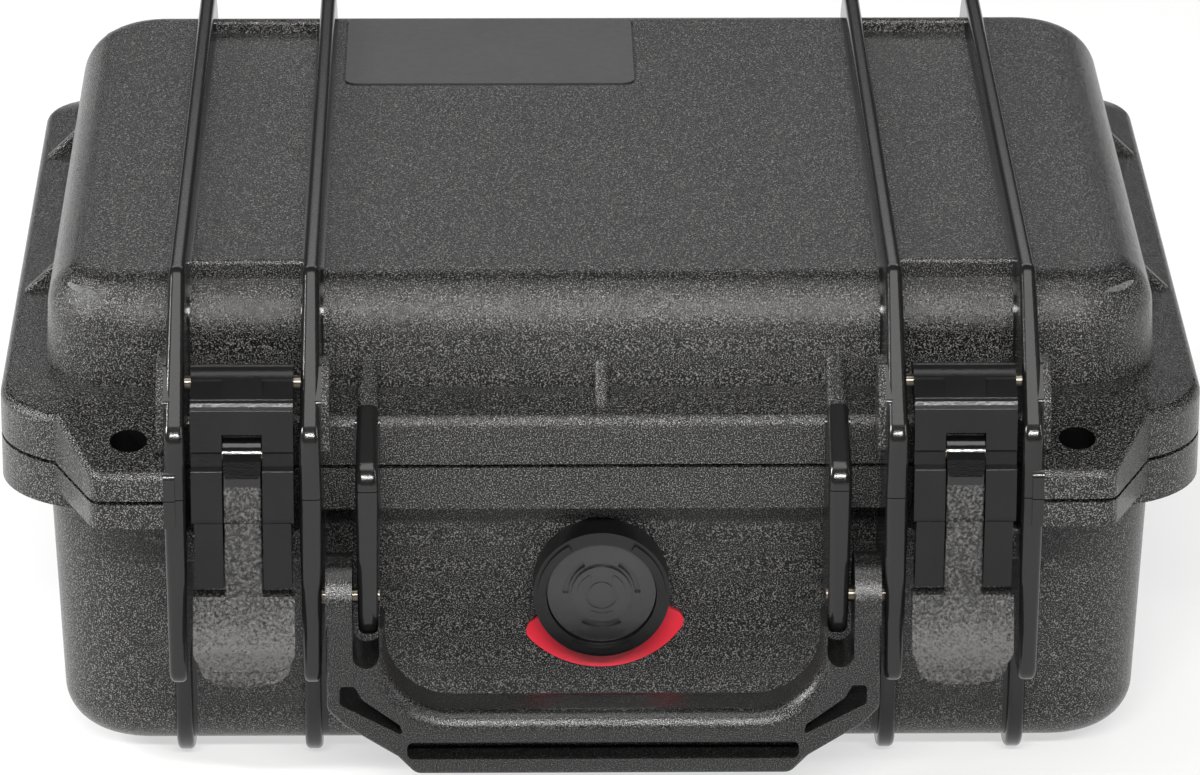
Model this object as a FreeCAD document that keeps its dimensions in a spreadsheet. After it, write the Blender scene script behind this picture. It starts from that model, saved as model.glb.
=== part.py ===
import FreeCAD, Part
import os
import re

import Sketcher

# Protective hard case with two over-centre latches, a folding handle and a pressure valve.
# Millimetres. X runs to the right, Y to the back and Z up; the sheet's places are about the body's middle.

document = FreeCAD.newDocument("HardCase")
sizes = document.addObject("Spreadsheet::Sheet", "Sizes")

DRIVING_SIZES = {
    # body
    "body_half_width": 125.1,
    "body_half_depth": 97.5,
    "seam_height": 81.0,
    "base_skin_foot": 4.4,
    "wall": 3.5,
    "floor_wall": 4.5,
    "roof_wall": 3.3,
    "draft_angle": 2.3,
    "plan_corner": 20.0,
    "base_edge_round": 10.0,
    "lid_edge_round": 12.0,
    "overrun": 5.0,
    # flange
    "flange_front": 12.9,
    "flange_back": 7.5,
    "flange_corner": 24.0,
    "flange_back_corner": 14.0,
    "lid_flange_shoulder": 10.3,
    "lid_flange_rise": 2.9,
    "lid_flange_run": 9.6,
    "lid_front_shoulder": 10.9,
    "base_flange_drop": 10.6,
    "base_flange_taper": 2.4,
    "base_flange_run": 7.5,
    "edge_soft": 1.4,
    "flange_round": 2.6,
    "brow_round": 2.8,
    # padlock tabs
    "tab_front": 33.7,
    "tab_root_front": 10.2,
    "tab_front_height": 6.3,
    "tab_back_height": 13.0,
    "tab_slope_back": 6.0,
    "tab_under": 6.5,
    "tab_under_back": 8.0,
    "tab_gusset_drop": 15.0,
    "tab_corner": 4.0,
    "tab_soft": 2.2,
    "padlock_front": 21.3,
    "padlock_radius": 4.0,
    # rim and seal
    "tongue_width": 2.0,
    "tongue_height": 2.0,
    "tongue_out": 1.0,
    "groove_clearance": 0.5,
    "seal_gap": 0.3,
    "seal_thickness": 2.0,
    "seal_side_clearance": 0.1,
    "land_out": 5.2,
    "seam_gap": 0.8,
    "rib_seam_gap": 0.2,
    # ribs
    "rib_wide": 5.0,
    "rib_lid_narrow": 3.6,
    "rib_base_narrow": 3.9,
    "rib_stand": 32.9,
    "rib_knee": 14.85,
    "rib_shoulder_front": 3.2,
    "rib_round": 1.4,
    "rib_end_round": 3.5,
    "rib_knee_round": 6.0,
    "rib_crown_round": 4.0,
    "rib_back_stand": 5.5,
    "rib_back_round": 16.0,
    "ear_rib_wide": 5.2,
    "ear_rib_narrow": 4.3,
    "ear_rib_stand": 28.7,
    "ear_rib_knee": 4.0,
    "low_rib_wide": 3.9,
    "low_rib_stand": 2.0,
    "low_rib_back_stand": 4.0,
    "low_rib_round": 16.0,
    "low_rib_edge": 1.2,
    "cross_rib_wide": 2.5,
    "cross_rib_round_share": 0.4,
    "gusset_wide": 3.3,
    "side_gusset_wide": 3.0,
    "side_gusset_round": 0.7,
    # hinges
    "hinge_stand": 8.5,
    "hinge_radius": 4.2,
    "hinge_pin_radius": 1.5,
    "hinge_gap": 0.5,
    "running_clearance": 0.05,
    "hinge_web_drop": 15.0,
    # latches
    "latch_pin_stand": 20.5,
    "latch_pin_radius": 1.5,
    "latch_knuckle": 4.0,
    "latch_width": 22.4,
    "latch_stem_width": 8.3,
    "latch_stem_gap": 0.25,
    "arm_brow_stand": 29.5,
    "arm_lip_stand": 31.0,
    "arm_step_stand": 32.0,
    "arm_belly_stand": 33.5,
    "rail_front": 34.5,
    "rail_foot_stand": 33.0,
    "rail_back": 27.0,
    "rail_round": 0.7,
    "rail_waist": 0.6,
    "arm_shoulder_stand": 24.2,
    "arm_shoulder_drop": 0.4,
    "arm_cove_stand": 29.7,
    "arm_cove_foot_stand": 30.1,
    "step_cove_stand": 31.5,
    "step_cove_foot_stand": 31.9,
    "cove_round": 0.35,
    "fold_wide": 0.9,
    "fold_deep": 0.4,
    "lever_pin_stand": 29.5,
    "lever_head_deep": 0.5,
    "lever_head_band": 1.6,
    "lever_stem_thick": 3.8,
    "lever_front": 34.3,
    "tab_bulge": 38.3,
    "tab_brow_stand": 35.6,
    "tab_chin_stand": 37.6,
    "tab_thick": 3.4,
    "tab_top_thick": 4.0,
    "tab_end_round": 5.0,
    "tab_middle_proud": 0.2,
    "tab_lip_inset": 1.1,
    "tab_lip_back": 1.3,
    "tab_lip_thick": 1.8,
    "tab_lip_overlap": 3.0,
    "tab_lip_tongue": 0.5,
    "claw_thick": 4.5,
    "claw_back": 24.2,
    "catch_front": 23.7,
    "boss_thick": 1.6,
    "boss_front": 27.0,
    "boss_crown": 19.5,
    "boss_back": 13.0,
    "pin_inset": 0.4,
    # handle
    "handle_pin_stand": 25.0,
    "handle_pin_radius": 1.75,
    "handle_boss_radius": 9.5,
    "handle_back": 19.0,
    "handle_front": 34.0,
    "grip_corner": 15.0,
    "grip_web_front": 27.0,
    "grip_round": 4.0,
    "lip_round": 1.0,
    "pocket_round": 0.8,
    "pocket_tip_round": 0.5,
    "lip_corner": 3.0,
    "foot_round": 2.8,
    "knee_round": 1.4,
    "slot_round_share": 0.49,
    # valve and badge
    "valve_radius": 15.3,
    "valve_stand": 8.0,
    "valve_ring_inner": 12.4,
    "valve_recess": 1.2,
    "valve_thread_radius": 7.6,
    "valve_hole_clearance": 0.15,
    "valve_thread_length": 9.0,
    "valve_bore_radius": 5.0,
    "valve_seal_thick": 1.0,
    "valve_seal_radius": 11.0,
    "valve_seal_inner": 8.4,
    "valve_nut_radius": 11.5,
    "valve_nut_thick": 4.0,
    "valve_cap_radius": 12.15,
    "valve_cap_thick": 2.0,
    "valve_hub_radius": 6.75,
    "valve_hub_rise": 0.9,
    "valve_slot_inner": 7.4,
    "valve_slot_outer": 8.7,
    "valve_slot_arc": 62.0,
    "valve_mark_inner": 4.6,
    "valve_mark_outer": 5.5,
    "valve_mark_arc": 60.0,
    "valve_mark_rise": 0.3,
    "valve_eye_inner": 2.9,
    "valve_eye_outer": 3.6,
    "valve_eye_deep": 0.3,
    "valve_rail_inner": 12.9,
    "valve_rail_outer": 14.4,
    "valve_rail_rise": 0.8,
    "valve_rail_arc": 58.0,
    "valve_membrane_thick": 0.6,
    "pad_proud": 0.8,
    "pad_half_width": 18.8,
    "pad_waist": 16.0,
    "pad_foot_share": 0.7,
    "pad_foot_drop_share": 0.72,
    "pad_foot_round_share": 0.5,
    "badge_radius": 21.7,
    "badge_thick": 1.1,
    "badge_start": 29.0,
    "badge_turn": 4.5,
    "badge_gap": 0.15,
    "badge_end_round": 2.8,
    # lid plate and foam
    "plate_width": 69.2,
    "plate_depth": 47.7,
    "plate_thick": 0.8,
    "plate_sink": 0.4,
    "plate_corner": 3.0,
    "plate_gap": 0.5,
    "foam_gap": 1.2,
    "lid_foam_thick": 22.0,
    "base_foam_thick": 8.0,
    "foam_seat": 0.3,
}

# Places that hold to another size: each is that size plus its own amount here
PLACED_FROM = {
    # across, from the body's side
    "body_half_width": {
        "rib_outer_x": -31.2,
        "tab_root_side": -3.6,
        "flange_half_width": 9.4,
    },
    # across, from the outer rib
    "rib_outer_x": {
        "low_rib_outer_x": 0.5,
        "padlock_x": 10.45,
        "tab_side": 17.9,
        "rib_inner_x": -29.6,
    },
    # across, from the flange's side
    "flange_half_width": {
        "side_gusset_out": -2.2,
    },
    # across, from the inner rib
    "rib_inner_x": {
        "low_rib_inner_x": 0.9,
        "plate_x": -39.6,
        "handle_half_width": -3.05,
    },
    # across, from the handle's side
    "handle_half_width": {
        "ear_rib_x": -9.25,
        "handle_arm_inner": -5.85,
        "slot_inner": -11.75,
        "cusp_x": -12.95,
        "groove_half_width": -17.75,
        "lip_half_width": -19.65,
        "lip_knee_x": -15.65,
        "foot_x": -4.05,
        "pocket_outer": -2.9,
        "pocket_high_x": -6.2,
        "pocket_side_x": -7.8,
        "pocket_inner_x": -16.2,
        "pocket_tip_x": -17.0,
    },
    # along, from the body's front or back
    "body_half_depth": {
        "cross_rib_front": -9.0,
        "cross_rib_back": -21.0,
        "side_gusset_front": -65.5,
        "side_gusset_back": -38.5,
        "plate_back": -36.7,
    },
    # up, from the seam
    "seam_height": {
        "lid_skin_top": 37.5,
        "rib_top": 43.0,
        "ear_rib_lid_top": 21.0,
        "cross_rib_top": 40.6,
        "cross_rib_foot": 27.0,
        "gusset_top": 20.4,
        "side_gusset_top": 18.6,
        "low_rib_top": -9.0,
        "rib_base_end": -44.8,
        "ear_rib_base_end": -36.0,
        "latch_pin_height": 22.8,
        "arm_brow_height": 22.3,
        "arm_shoulder_height": 24.95,
        "arm_cove_height": 21.5,
        "arm_cove_foot_height": 20.8,
        "arm_lip_height": 20.2,
        "arm_step_height": 11.0,
        "step_cove_height": 10.3,
        "step_cove_foot_height": 7.6,
        "arm_belly_height": 6.9,
        "rail_front_height": -4.6,
        "lever_head_height": 10.9,
        "rail_foot": -21.0,
        "rail_throat": 17.0,
        "bridge_foot": 14.8,
        "lever_pin_height": 9.5,
        "tab_top": -22.5,
        "tab_foot": -42.7,
        "tab_bulge_height": -34.0,
        "tab_brow_height": -26.5,
        "tab_chin_height": -39.0,
        "claw_top": -19.5,
        "catch_foot": -19.0,
        "catch_top": -11.0,
        "boss_foot": 9.0,
        "boss_top": 26.5,
        "boss_brow": 20.5,
        "handle_pin_height": -26.2,
        "valve_height": -33.6,
        "pad_top": -9.5,
        "pad_neck": -19.0,
    },
    # up, from the handle's pins
    "handle_pin_height": {
        "slot_foot": -13.8,
        "cusp_height": -4.8,
        "grip_top": -25.2,
        "grip_foot": -31.8,
        "lip_top": -35.9,
        "lip_foot": -39.6,
        "foot_high": -23.8,
        "foot_low": -28.0,
        "pocket_high": -18.2,
        "pocket_side_height": -21.3,
        "pocket_inner_low": -27.6,
        "pocket_tip_low": -30.2,
        "pocket_low_outer": -22.6,
        "lip_knee_height": -35.4,
    },
}

SHEET_LINES = list(DRIVING_SIZES.items())
for start, places in PLACED_FROM.items():
    for alias, amount in places.items():
        SHEET_LINES.append((f"{alias}_from_there", amount))
        SHEET_LINES.append((alias, f"={start} + {alias}_from_there"))
for line, (alias, amount) in enumerate(SHEET_LINES, start=1):
    sizes.set(f"A{line}", alias)
    sizes.set(f"B{line}", str(amount))
    sizes.setAlias(f"B{line}", alias)
document.recompute()


# An expression in sheet names, written with the sheet's own name before each
def bound(text):
    return re.sub(r"\b([a-z][a-z_]+)\b(?!\()", r"Sizes.\1", str(text))


def amount_of(text):
    return float(sizes.evalExpression(bound(text)))


def minus(text):
    return f"-({text})"


NORMAL_OF = {"XY": "XY_Plane", "XZ": "XZ_Plane", "YZ": "YZ_Plane"}
NEAR = 1e-4


# A point in a plane's own axes: across, up and out of the plane
def in_plane(plane, point):
    if plane == "XY":
        return point.x, point.y, point.z
    if plane == "XZ":
        return point.x, point.z, -point.y
    return point.y, point.z, point.x


def stop_if_failed(thing):
    if any(word in thing.State for word in ("Invalid", "Error")):
        raise RuntimeError(f"{thing.Label} failed: {thing.State}")
    if thing.Shape.isNull() or not thing.Shape.isValid():
        raise RuntimeError(f"{thing.Label} has no valid shape")


def sketch_on(body, name, plane, points, offset):
    sketch = body.newObject("Sketcher::SketchObject", name)
    origin_plane = [o for o in body.Origin.OriginFeatures if o.Role == NORMAL_OF[plane]][0]
    sketch.AttachmentSupport = [(origin_plane, "")]
    sketch.MapMode = "FlatFace"
    sketch.setExpression("AttachmentOffset.Base.z", bound(offset))
    places = [(amount_of(a), amount_of(b)) for a, b in points]
    count = len(places)
    for i in range(count):
        here = FreeCAD.Vector(*places[i], 0)
        there = FreeCAD.Vector(*places[(i + 1) % count], 0)
        sketch.addGeometry(Part.LineSegment(here, there), False)
    for i in range(count):
        sketch.addConstraint(Sketcher.Constraint("Coincident", i, 2, (i + 1) % count, 1))
    for i, (across, up) in enumerate(points):
        for kind, text, start in (("DistanceX", across, places[i][0]), ("DistanceY", up, places[i][1])):
            number = sketch.addConstraint(Sketcher.Constraint(kind, -1, 1, i, 1, start))
            sketch.setExpression(f"Constraints[{number}]", bound(text))
    return sketch


# A straight solid: an outline of sheet expressions in one plane, from low to high along the third axis.
# side -1 gives its mirror image in X. corners are (point numbers, radius) rounds along the third axis and
# rims are (side numbers, radius) rounds of the outline's edges in both end planes, or with ends=1 in the far one.
def prism(name, plane, points, low, high, side=1, taper=None, down=False, corners=(), rims=(), ends=2):
    if plane == "YZ":
        if side < 0:
            low, high = minus(high), minus(low)
    else:
        points = [(f"{side} * ({a})", b) for a, b in points]
    if plane == "XZ":
        low, high = minus(high), minus(low)
    body = document.addObject("PartDesign::Body", name)
    sketch = sketch_on(body, name + "_outline", plane, points, high if down else low)
    tip = body.newObject("PartDesign::Pad", name + "_pad")
    tip.Profile = sketch
    tip.setExpression("Length", bound(f"({high}) - ({low})"))
    tip.Reversed = down
    document.recompute()
    stop_if_failed(tip)
    if taper:
        tip = drafted(body, name + "_draft", tip, taper, amount_of(high if down else low), down)
    start = amount_of(high if down else low)
    end = amount_of(low if down else high)
    places = [(amount_of(a), amount_of(b)) for a, b in points]
    for number, (chosen, radius) in enumerate(corners):
        edges = []
        for i, edge in enumerate(tip.Shape.Edges, start=1):
            ends = [in_plane(plane, v.Point) for v in edge.Vertexes]
            if len(ends) < 2 or abs(ends[0][2] - ends[1][2]) < NEAR:
                continue
            at_sketch = min(ends, key=lambda e: abs(e[2] - start))
            if any(
                abs(at_sketch[0] - places[c][0]) < NEAR and abs(at_sketch[1] - places[c][1]) < NEAR
                for c in chosen
            ):
                edges.append(f"Edge{i}")
        tip = rounded(body, f"{name}_corner_{number}", tip, edges, radius)
    for number, (chosen, radius) in enumerate(rims):
        edges = []
        for i, edge in enumerate(tip.Shape.Edges, start=1):
            along = [in_plane(plane, v.Point) for v in edge.Vertexes]
            if len(along) < 2 or abs(along[0][2] - along[1][2]) > NEAR:
                continue
            if abs(along[0][2] - end) > NEAR and (ends == 1 or abs(along[0][2] - start) > NEAR):
                continue
            if any(on_side(along, places[c], places[(c + 1) % len(places)]) for c in chosen):
                edges.append(f"Edge{i}")
        tip = rounded(body, f"{name}_rim_{number}", tip, edges, radius)
    return body


# Whether both ends of an edge lie on the line through two outline points
def on_side(ends, one, other):
    run = (other[0] - one[0], other[1] - one[1])
    length = (run[0] ** 2 + run[1] ** 2) ** 0.5
    return all(
        abs(run[0] * (e[1] - one[1]) - run[1] * (e[0] - one[0])) / length < NEAR for e in ends
    )


# Leans an upright solid's sides inward, away from the level where its sketch lies
def drafted(body, name, tip, angle, level, down):
    upright = []
    base_face = None
    for i, face in enumerate(tip.Shape.Faces, start=1):
        if face.BoundBox.ZLength > NEAR:
            upright.append(f"Face{i}")
        elif abs(face.BoundBox.ZMin - level) < NEAR:
            base_face = f"Face{i}"
    draft = body.newObject("PartDesign::Draft", name)
    draft.Base = (tip, upright)
    draft.NeutralPlane = (tip, [base_face])
    draft.Reversed = down
    draft.setExpression("Angle", bound(angle))
    document.recompute()
    stop_if_failed(draft)
    return draft


def rounded(body, name, tip, edges, radius):
    fillet = body.newObject("PartDesign::Fillet", name)
    fillet.Base = (tip, edges)
    fillet.setExpression("Radius", bound(radius))
    document.recompute()
    stop_if_failed(fillet)
    return fillet


# A round bar along X, Y or Z from low to high
def bar(name, axis, radius, low, high, place, side=1):
    if axis == "X" and side < 0:
        low, high = minus(high), minus(low)
    cylinder = document.addObject("Part::Cylinder", name)
    cylinder.setExpression("Radius", bound(radius))
    cylinder.setExpression("Height", bound(f"({high}) - ({low})"))
    turns = {
        "X": FreeCAD.Rotation(FreeCAD.Vector(0, 1, 0), 90),
        "Y": FreeCAD.Rotation(FreeCAD.Vector(1, 0, 0), -90),
        "Z": FreeCAD.Rotation(),
    }
    cylinder.Placement = FreeCAD.Placement(FreeCAD.Vector(), turns[axis])
    first, second = place
    if axis != "X":
        first = f"{side} * ({first})"
    wanted = {"X": (low, first, second), "Y": (first, low, second), "Z": (first, second, low)}[axis]
    for letter, text in zip("xyz", wanted):
        cylinder.setExpression(f"Placement.Base.{letter}", bound(text))
    return cylinder


def joined(name, things):
    union = document.addObject("Part::MultiFuse", name)
    union.Shapes = things
    union.Refine = True
    document.recompute()
    stop_if_failed(union)
    return union


# Takes tools away one after another, each a solid or a list of solids that go together
def without(name, thing, tools):
    left = thing
    for number, tool in enumerate(tools):
        whole = number == len(tools) - 1
        cut = document.addObject("Part::Cut", name if whole else f"{name}_cut_{number}")
        cut.Base = left
        cut.Tool = joined(f"{name}_tools_{number}", tool) if isinstance(tool, list) else tool
        cut.Refine = True
        document.recompute()
        stop_if_failed(cut)
        left = cut
    return left


def common(name, one, other):
    shared = document.addObject("Part::Common", name)
    shared.Base = one
    shared.Tool = other
    shared.Refine = True
    document.recompute()
    stop_if_failed(shared)
    return shared


# Rounds the edges that wanted picks from a finished solid
def softened(name, thing, radius, wanted):
    chosen = [i for i, edge in enumerate(thing.Shape.Edges, start=1) if wanted(edge)]
    fillet = document.addObject("Part::Fillet", name)
    fillet.Base = thing
    fillet.Edges = [(i, amount_of(radius), amount_of(radius)) for i in chosen]
    document.recompute()
    stop_if_failed(fillet)
    return fillet


# The edges of a feature that lie level at one height
def level_edges(tip, height):
    level = amount_of(height)
    return [
        f"Edge{i}"
        for i, edge in enumerate(tip.Shape.Edges, start=1)
        if all(abs(v.Z - level) < NEAR for v in edge.Vertexes)
    ]


SUB_PARTS = []


# Gives a finished solid its node name and moves it so that the whole case's middle is at the origin
def sub_part(label, thing, across=True):
    thing.Label = label
    if across:
        thing.setExpression("Placement.Base.y", bound(BODY_Y))
    document.recompute()
    stop_if_failed(thing)
    SUB_PARTS.append(thing)
    return thing


# Places that several pieces share

BODY_Y = "((tab_bulge - hinge_stand - hinge_radius) / 2)"
FRONT = "(-body_half_depth)"
BACK = "body_half_depth"
FLANGE_FRONT = "(-body_half_depth - flange_front)"
FLANGE_BACK = "(body_half_depth + flange_back)"
HINGE_Y = "(body_half_depth + hinge_stand)"
LATCH_X = "((rib_outer_x + rib_inner_x) / 2)"
LATCH_PIN_Y = "(-body_half_depth - latch_pin_stand)"
LEVER_PIN_Y = "(-body_half_depth - lever_pin_stand)"
HANDLE_PIN_Y = "(-body_half_depth - handle_pin_stand)"
TONGUE_OUT = "(tongue_out + tongue_width)"
SIDES = {"right": 1, "left": -1}


# Where the base's drafted front or back skin lies at a height below the seam
def skin_depth(height):
    return f"(body_half_depth - (seam_height - ({height})) * tan(draft_angle))"


def front(stand):
    return f"(-body_half_depth - ({stand}))"


def rectangle(half_width, near, far):
    return [(minus(half_width), near), (half_width, near), (half_width, far), (minus(half_width), far)]


ALL_FOUR = [0, 1, 2, 3]


# A ring that follows the body's outline, from one distance outside the skin to another
def rim_ring(name, inner, outer, low, high):
    shapes = []
    for part, out in (("outer", outer), ("inner", inner)):
        extra = "overrun" if part == "inner" else "0 * overrun"
        shapes.append(
            prism(
                f"{name}_{part}",
                "XY",
                rectangle(
                    f"body_half_width + {out}",
                    f"-body_half_depth - ({out})",
                    f"body_half_depth + {out}",
                ),
                f"{low} - {extra}",
                f"{high} + {extra}",
                corners=[(ALL_FOUR, f"plan_corner + {out}")],
            )
        )
    return without(name, shapes[0], [shapes[1]])


# A slab that narrows away from the seam, to give a rib its draft
def rib_slab(name, x, wide, narrow, near, far, side):
    points = [
        (f"{x} - {wide} / 2", near),
        (f"{x} + {wide} / 2", near),
        (f"{x} + {narrow} / 2", far),
        (f"{x} - {narrow} / 2", far),
    ]
    far_end = "body_half_depth + hinge_stand + overrun"
    return prism(name, "XZ", points, front("rib_stand + overrun"), far_end, side)


# A rib: a profile in YZ cut from a drafted slab, with its outer edges rounded
def rib(name, x, wide, narrow, far, points, outer, side, corners=(), radius="rib_round"):
    slab = rib_slab(name + "_slab", x, wide, narrow, "seam_height", far, side)
    plate = prism(
        name + "_plate", "YZ", points, f"{x} - {wide}", f"{x} + {wide}", side, corners=corners
    )
    solid = common(name + "_blank", slab, plate)
    places = [(amount_of(a), amount_of(b)) for a, b in points]

    def on_outer(edge):
        ends = [in_plane("YZ", v.Point) for v in edge.Vertexes]
        if len(ends) < 2 or (abs(ends[0][0] - ends[1][0]) < NEAR and abs(ends[0][1] - ends[1][1]) < NEAR):
            return False
        return any(on_side(ends, places[c], places[(c + 1) % len(places)]) for c in outer)

    return softened(name, solid, radius, on_outer)


# A moulding and its two padlock tabs, as pieces of their own so that the round holes lie in small solids
def parted(word, whole):
    rooms = []
    for hand, side in SIDES.items():
        near = "rib_outer_x + rib_wide / 2 + edge_soft"
        back = front("padlock_front - padlock_radius - wall")
        outline = [
            (near, front("tab_front + overrun")),
            ("tab_root_side + overrun", front("tab_front + overrun")),
            ("tab_root_side + overrun", back),
            (near, back),
        ]
        low, high = "seam_height - tab_gusset_drop - overrun", "seam_height + tab_gusset_drop + overrun"
        room = prism(f"{word}_tab_room_{hand}", "XY", outline, low, high, side)
        rooms.append(room)
        sub_part(f"{word}_padlock_tab_{hand}", common(f"{word}_padlock_tab_{hand}", whole, room))
    sub_part(f"{word}_shell", without(f"{word}_shell", whole, [rooms]))


# Base

def base_rib(name, x, side):
    points = [
        (front("rib_stand"), "seam_height"),
        (front("rib_stand"), "rib_base_end"),
        (f"-{skin_depth('rib_base_end')} + wall / 2", "rib_base_end"),
        (f"-{skin_depth('rib_base_end')} + wall / 2", "seam_height"),
    ]
    return rib(
        name, x, "rib_wide", "rib_base_narrow", "rib_base_end", points, [0, 1], side,
        corners=[([1], "rib_end_round")],
    )


def ear_rib(name, side):
    points = [
        (front("ear_rib_stand"), "seam_height"),
        (front("ear_rib_stand"), "ear_rib_base_end"),
        (f"-{skin_depth('ear_rib_base_end')} + wall / 2", "ear_rib_base_end"),
        (f"-{skin_depth('ear_rib_base_end')} + wall / 2", "seam_height"),
    ]
    return rib(
        name, "ear_rib_x", "ear_rib_wide", "ear_rib_narrow", "ear_rib_base_end", points, [0, 1], side,
        corners=[([1], "rib_knee_round")],
    )


# A skid rib from under the front ribs, round the bottom and up the back
def low_rib(name, x, side):
    front_top = f"-{skin_depth('low_rib_top')} - low_rib_stand"
    front_foot = f"-{skin_depth('0 * overrun')} - low_rib_stand"
    back_top = f"{skin_depth('low_rib_top')} + low_rib_back_stand"
    back_foot = f"{skin_depth('0 * overrun')} + low_rib_back_stand"
    points = [
        (front_top, "low_rib_top"),
        (front_foot, "0 * overrun"),
        (back_foot, "0 * overrun"),
        (back_top, "low_rib_top"),
    ]
    return prism(
        name, "YZ", points, f"{x} - low_rib_wide / 2", f"{x} + low_rib_wide / 2", side,
        corners=[([1, 2], "low_rib_round")], rims=[([0, 1, 2], "low_rib_edge")],
    )


def tab_plan(name, low, high, side):
    points = [
        ("rib_outer_x", front("tab_front")),
        ("tab_side", front("tab_front")),
        ("tab_root_side", front("tab_root_front")),
        ("tab_root_side", front("0 * overrun")),
        ("rib_outer_x", front("0 * overrun")),
    ]
    return prism(name, "XY", points, low, high, side, corners=[([1], "tab_corner")])


def base_tab(name, side):
    under = "seam_height - tab_under"
    profile = [
        (front("tab_front + overrun"), "seam_height"),
        (front("tab_front + overrun"), under),
        (front("tab_under_back"), under),
        (front("0 * overrun"), f"{under} - tab_under_back"),
        (front("0 * overrun"), "seam_height"),
    ]
    plan = tab_plan(name + "_plan", "seam_height - tab_gusset_drop", "seam_height", side)
    plate = prism(name + "_plate", "YZ", profile, "rib_outer_x - overrun", "tab_root_side + overrun", side)
    return common(name, plan, plate)


def flange(name, low, high, chamfer_height, drop, run, shoulder=None):
    body = prism(
        name, "XY", rectangle("flange_half_width", FLANGE_FRONT, FLANGE_BACK), low, high,
        corners=[([0, 1], "flange_corner"), ([2, 3], "flange_back_corner")],
    )
    tip = body.Tip
    slope = body.newObject("PartDesign::Chamfer", name + "_slope")
    slope.Base = (tip, level_edges(tip, chamfer_height))
    slope.ChamferType = "Two distances"
    slope.setExpression("Size", bound(drop))
    slope.setExpression("Size2", bound(run))
    slope.FlipDirection = shoulder is None
    document.recompute()
    stop_if_failed(slope)
    if shoulder:
        rounded(body, name + "_shoulder", slope, level_edges(slope, shoulder), "flange_round")
    return body


def base_shell():
    skin = prism(
        "base_skin", "XY", rectangle("body_half_width", FRONT, BACK), "base_skin_foot", "seam_height",
        taper="draft_angle", down=True, corners=[(ALL_FOUR, "plan_corner")],
    )
    rounded(skin, "base_skin_round", skin.Tip, level_edges(skin.Tip, "base_skin_foot"), "base_edge_round")
    solids = [
        skin,
        flange(
            "base_flange", "seam_height - base_flange_drop - base_flange_taper", "seam_height",
            "seam_height - base_flange_drop - base_flange_taper", "base_flange_taper", "base_flange_run",
        ),
        rim_ring("tongue", "tongue_out", TONGUE_OUT, "seam_height - tongue_height", "seam_height + tongue_height"),
    ]
    cuts = []
    for word, side in SIDES.items():
        solids += [
            base_rib(f"base_rib_outer_{word}", "rib_outer_x", side),
            base_rib(f"base_rib_inner_{word}", "rib_inner_x", side),
            ear_rib(f"base_ear_{word}", side),
            low_rib(f"low_rib_outer_{word}", "low_rib_outer_x", side),
            low_rib(f"low_rib_inner_{word}", "low_rib_inner_x", side),
            base_tab(f"base_tab_{word}", side),
            prism(
                f"catch_{word}", "YZ",
                [
                    (front("catch_front"), "catch_foot"),
                    (front("catch_front"), "catch_top"),
                    (front("0 * overrun"), "catch_top"),
                    (front("0 * overrun") + " + wall / 2", "catch_foot"),
                ],
                "rib_inner_x", "rib_outer_x", side, corners=[([0, 1], "edge_soft")],
            ),
            bar(
                f"hinge_barrel_{word}", "X", "hinge_radius", "rib_inner_x + rib_wide / 2 + hinge_gap",
                "rib_outer_x - rib_wide / 2 - hinge_gap", (HINGE_Y, "seam_height"), side,
            ),
            prism(
                f"hinge_web_{word}", "YZ",
                [
                    (f"{HINGE_Y} + hinge_radius", "seam_height"),
                    (f"{HINGE_Y} + hinge_radius", "seam_height - hinge_radius"),
                    ("body_half_depth", "seam_height - hinge_web_drop"),
                    ("body_half_depth - wall / 2", "seam_height - hinge_web_drop"),
                    ("body_half_depth - wall / 2", "seam_height"),
                ],
                "rib_inner_x + rib_wide / 2 + hinge_gap", "rib_outer_x - rib_wide / 2 - hinge_gap", side,
            ),
        ]
        cuts += [
            bar(
                f"base_hinge_bore_{word}", "X", "hinge_pin_radius", "rib_inner_x - overrun",
                "rib_outer_x + overrun", (HINGE_Y, "seam_height"), side,
            ),
            bar(
                f"lid_ear_room_outer_{word}", "X", "hinge_radius + hinge_gap",
                "rib_outer_x - rib_wide / 2 - hinge_gap", "rib_outer_x + rib_wide / 2 + hinge_gap",
                (HINGE_Y, "seam_height"), side,
            ),
            bar(
                f"lid_ear_room_inner_{word}", "X", "hinge_radius + hinge_gap",
                "rib_inner_x - rib_wide / 2 - hinge_gap", "rib_inner_x + rib_wide / 2 + hinge_gap",
                (HINGE_Y, "seam_height"), side,
            ),
            bar(
                f"base_padlock_bore_{word}", "Z", "padlock_radius", "seam_height - tab_gusset_drop - overrun",
                "seam_height + overrun", ("padlock_x", front("padlock_front")), side,
            ),
            bar(
                f"base_handle_bore_{word}", "X", "handle_pin_radius",
                "ear_rib_x - ear_rib_wide / 2", "rib_inner_x + rib_wide / 2 + overrun",
                (HANDLE_PIN_Y, "handle_pin_height"), side,
            ),
        ]
    solids.append(shield_pad())
    hollow = cavity("base_cavity", "base_skin_foot + floor_wall", "base_edge_round - wall", True)
    cuts = [cuts, hollow, valve_hole(), seam_line()]
    parted("base", without("base_whole", joined("base_solid", solids), cuts))


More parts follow.
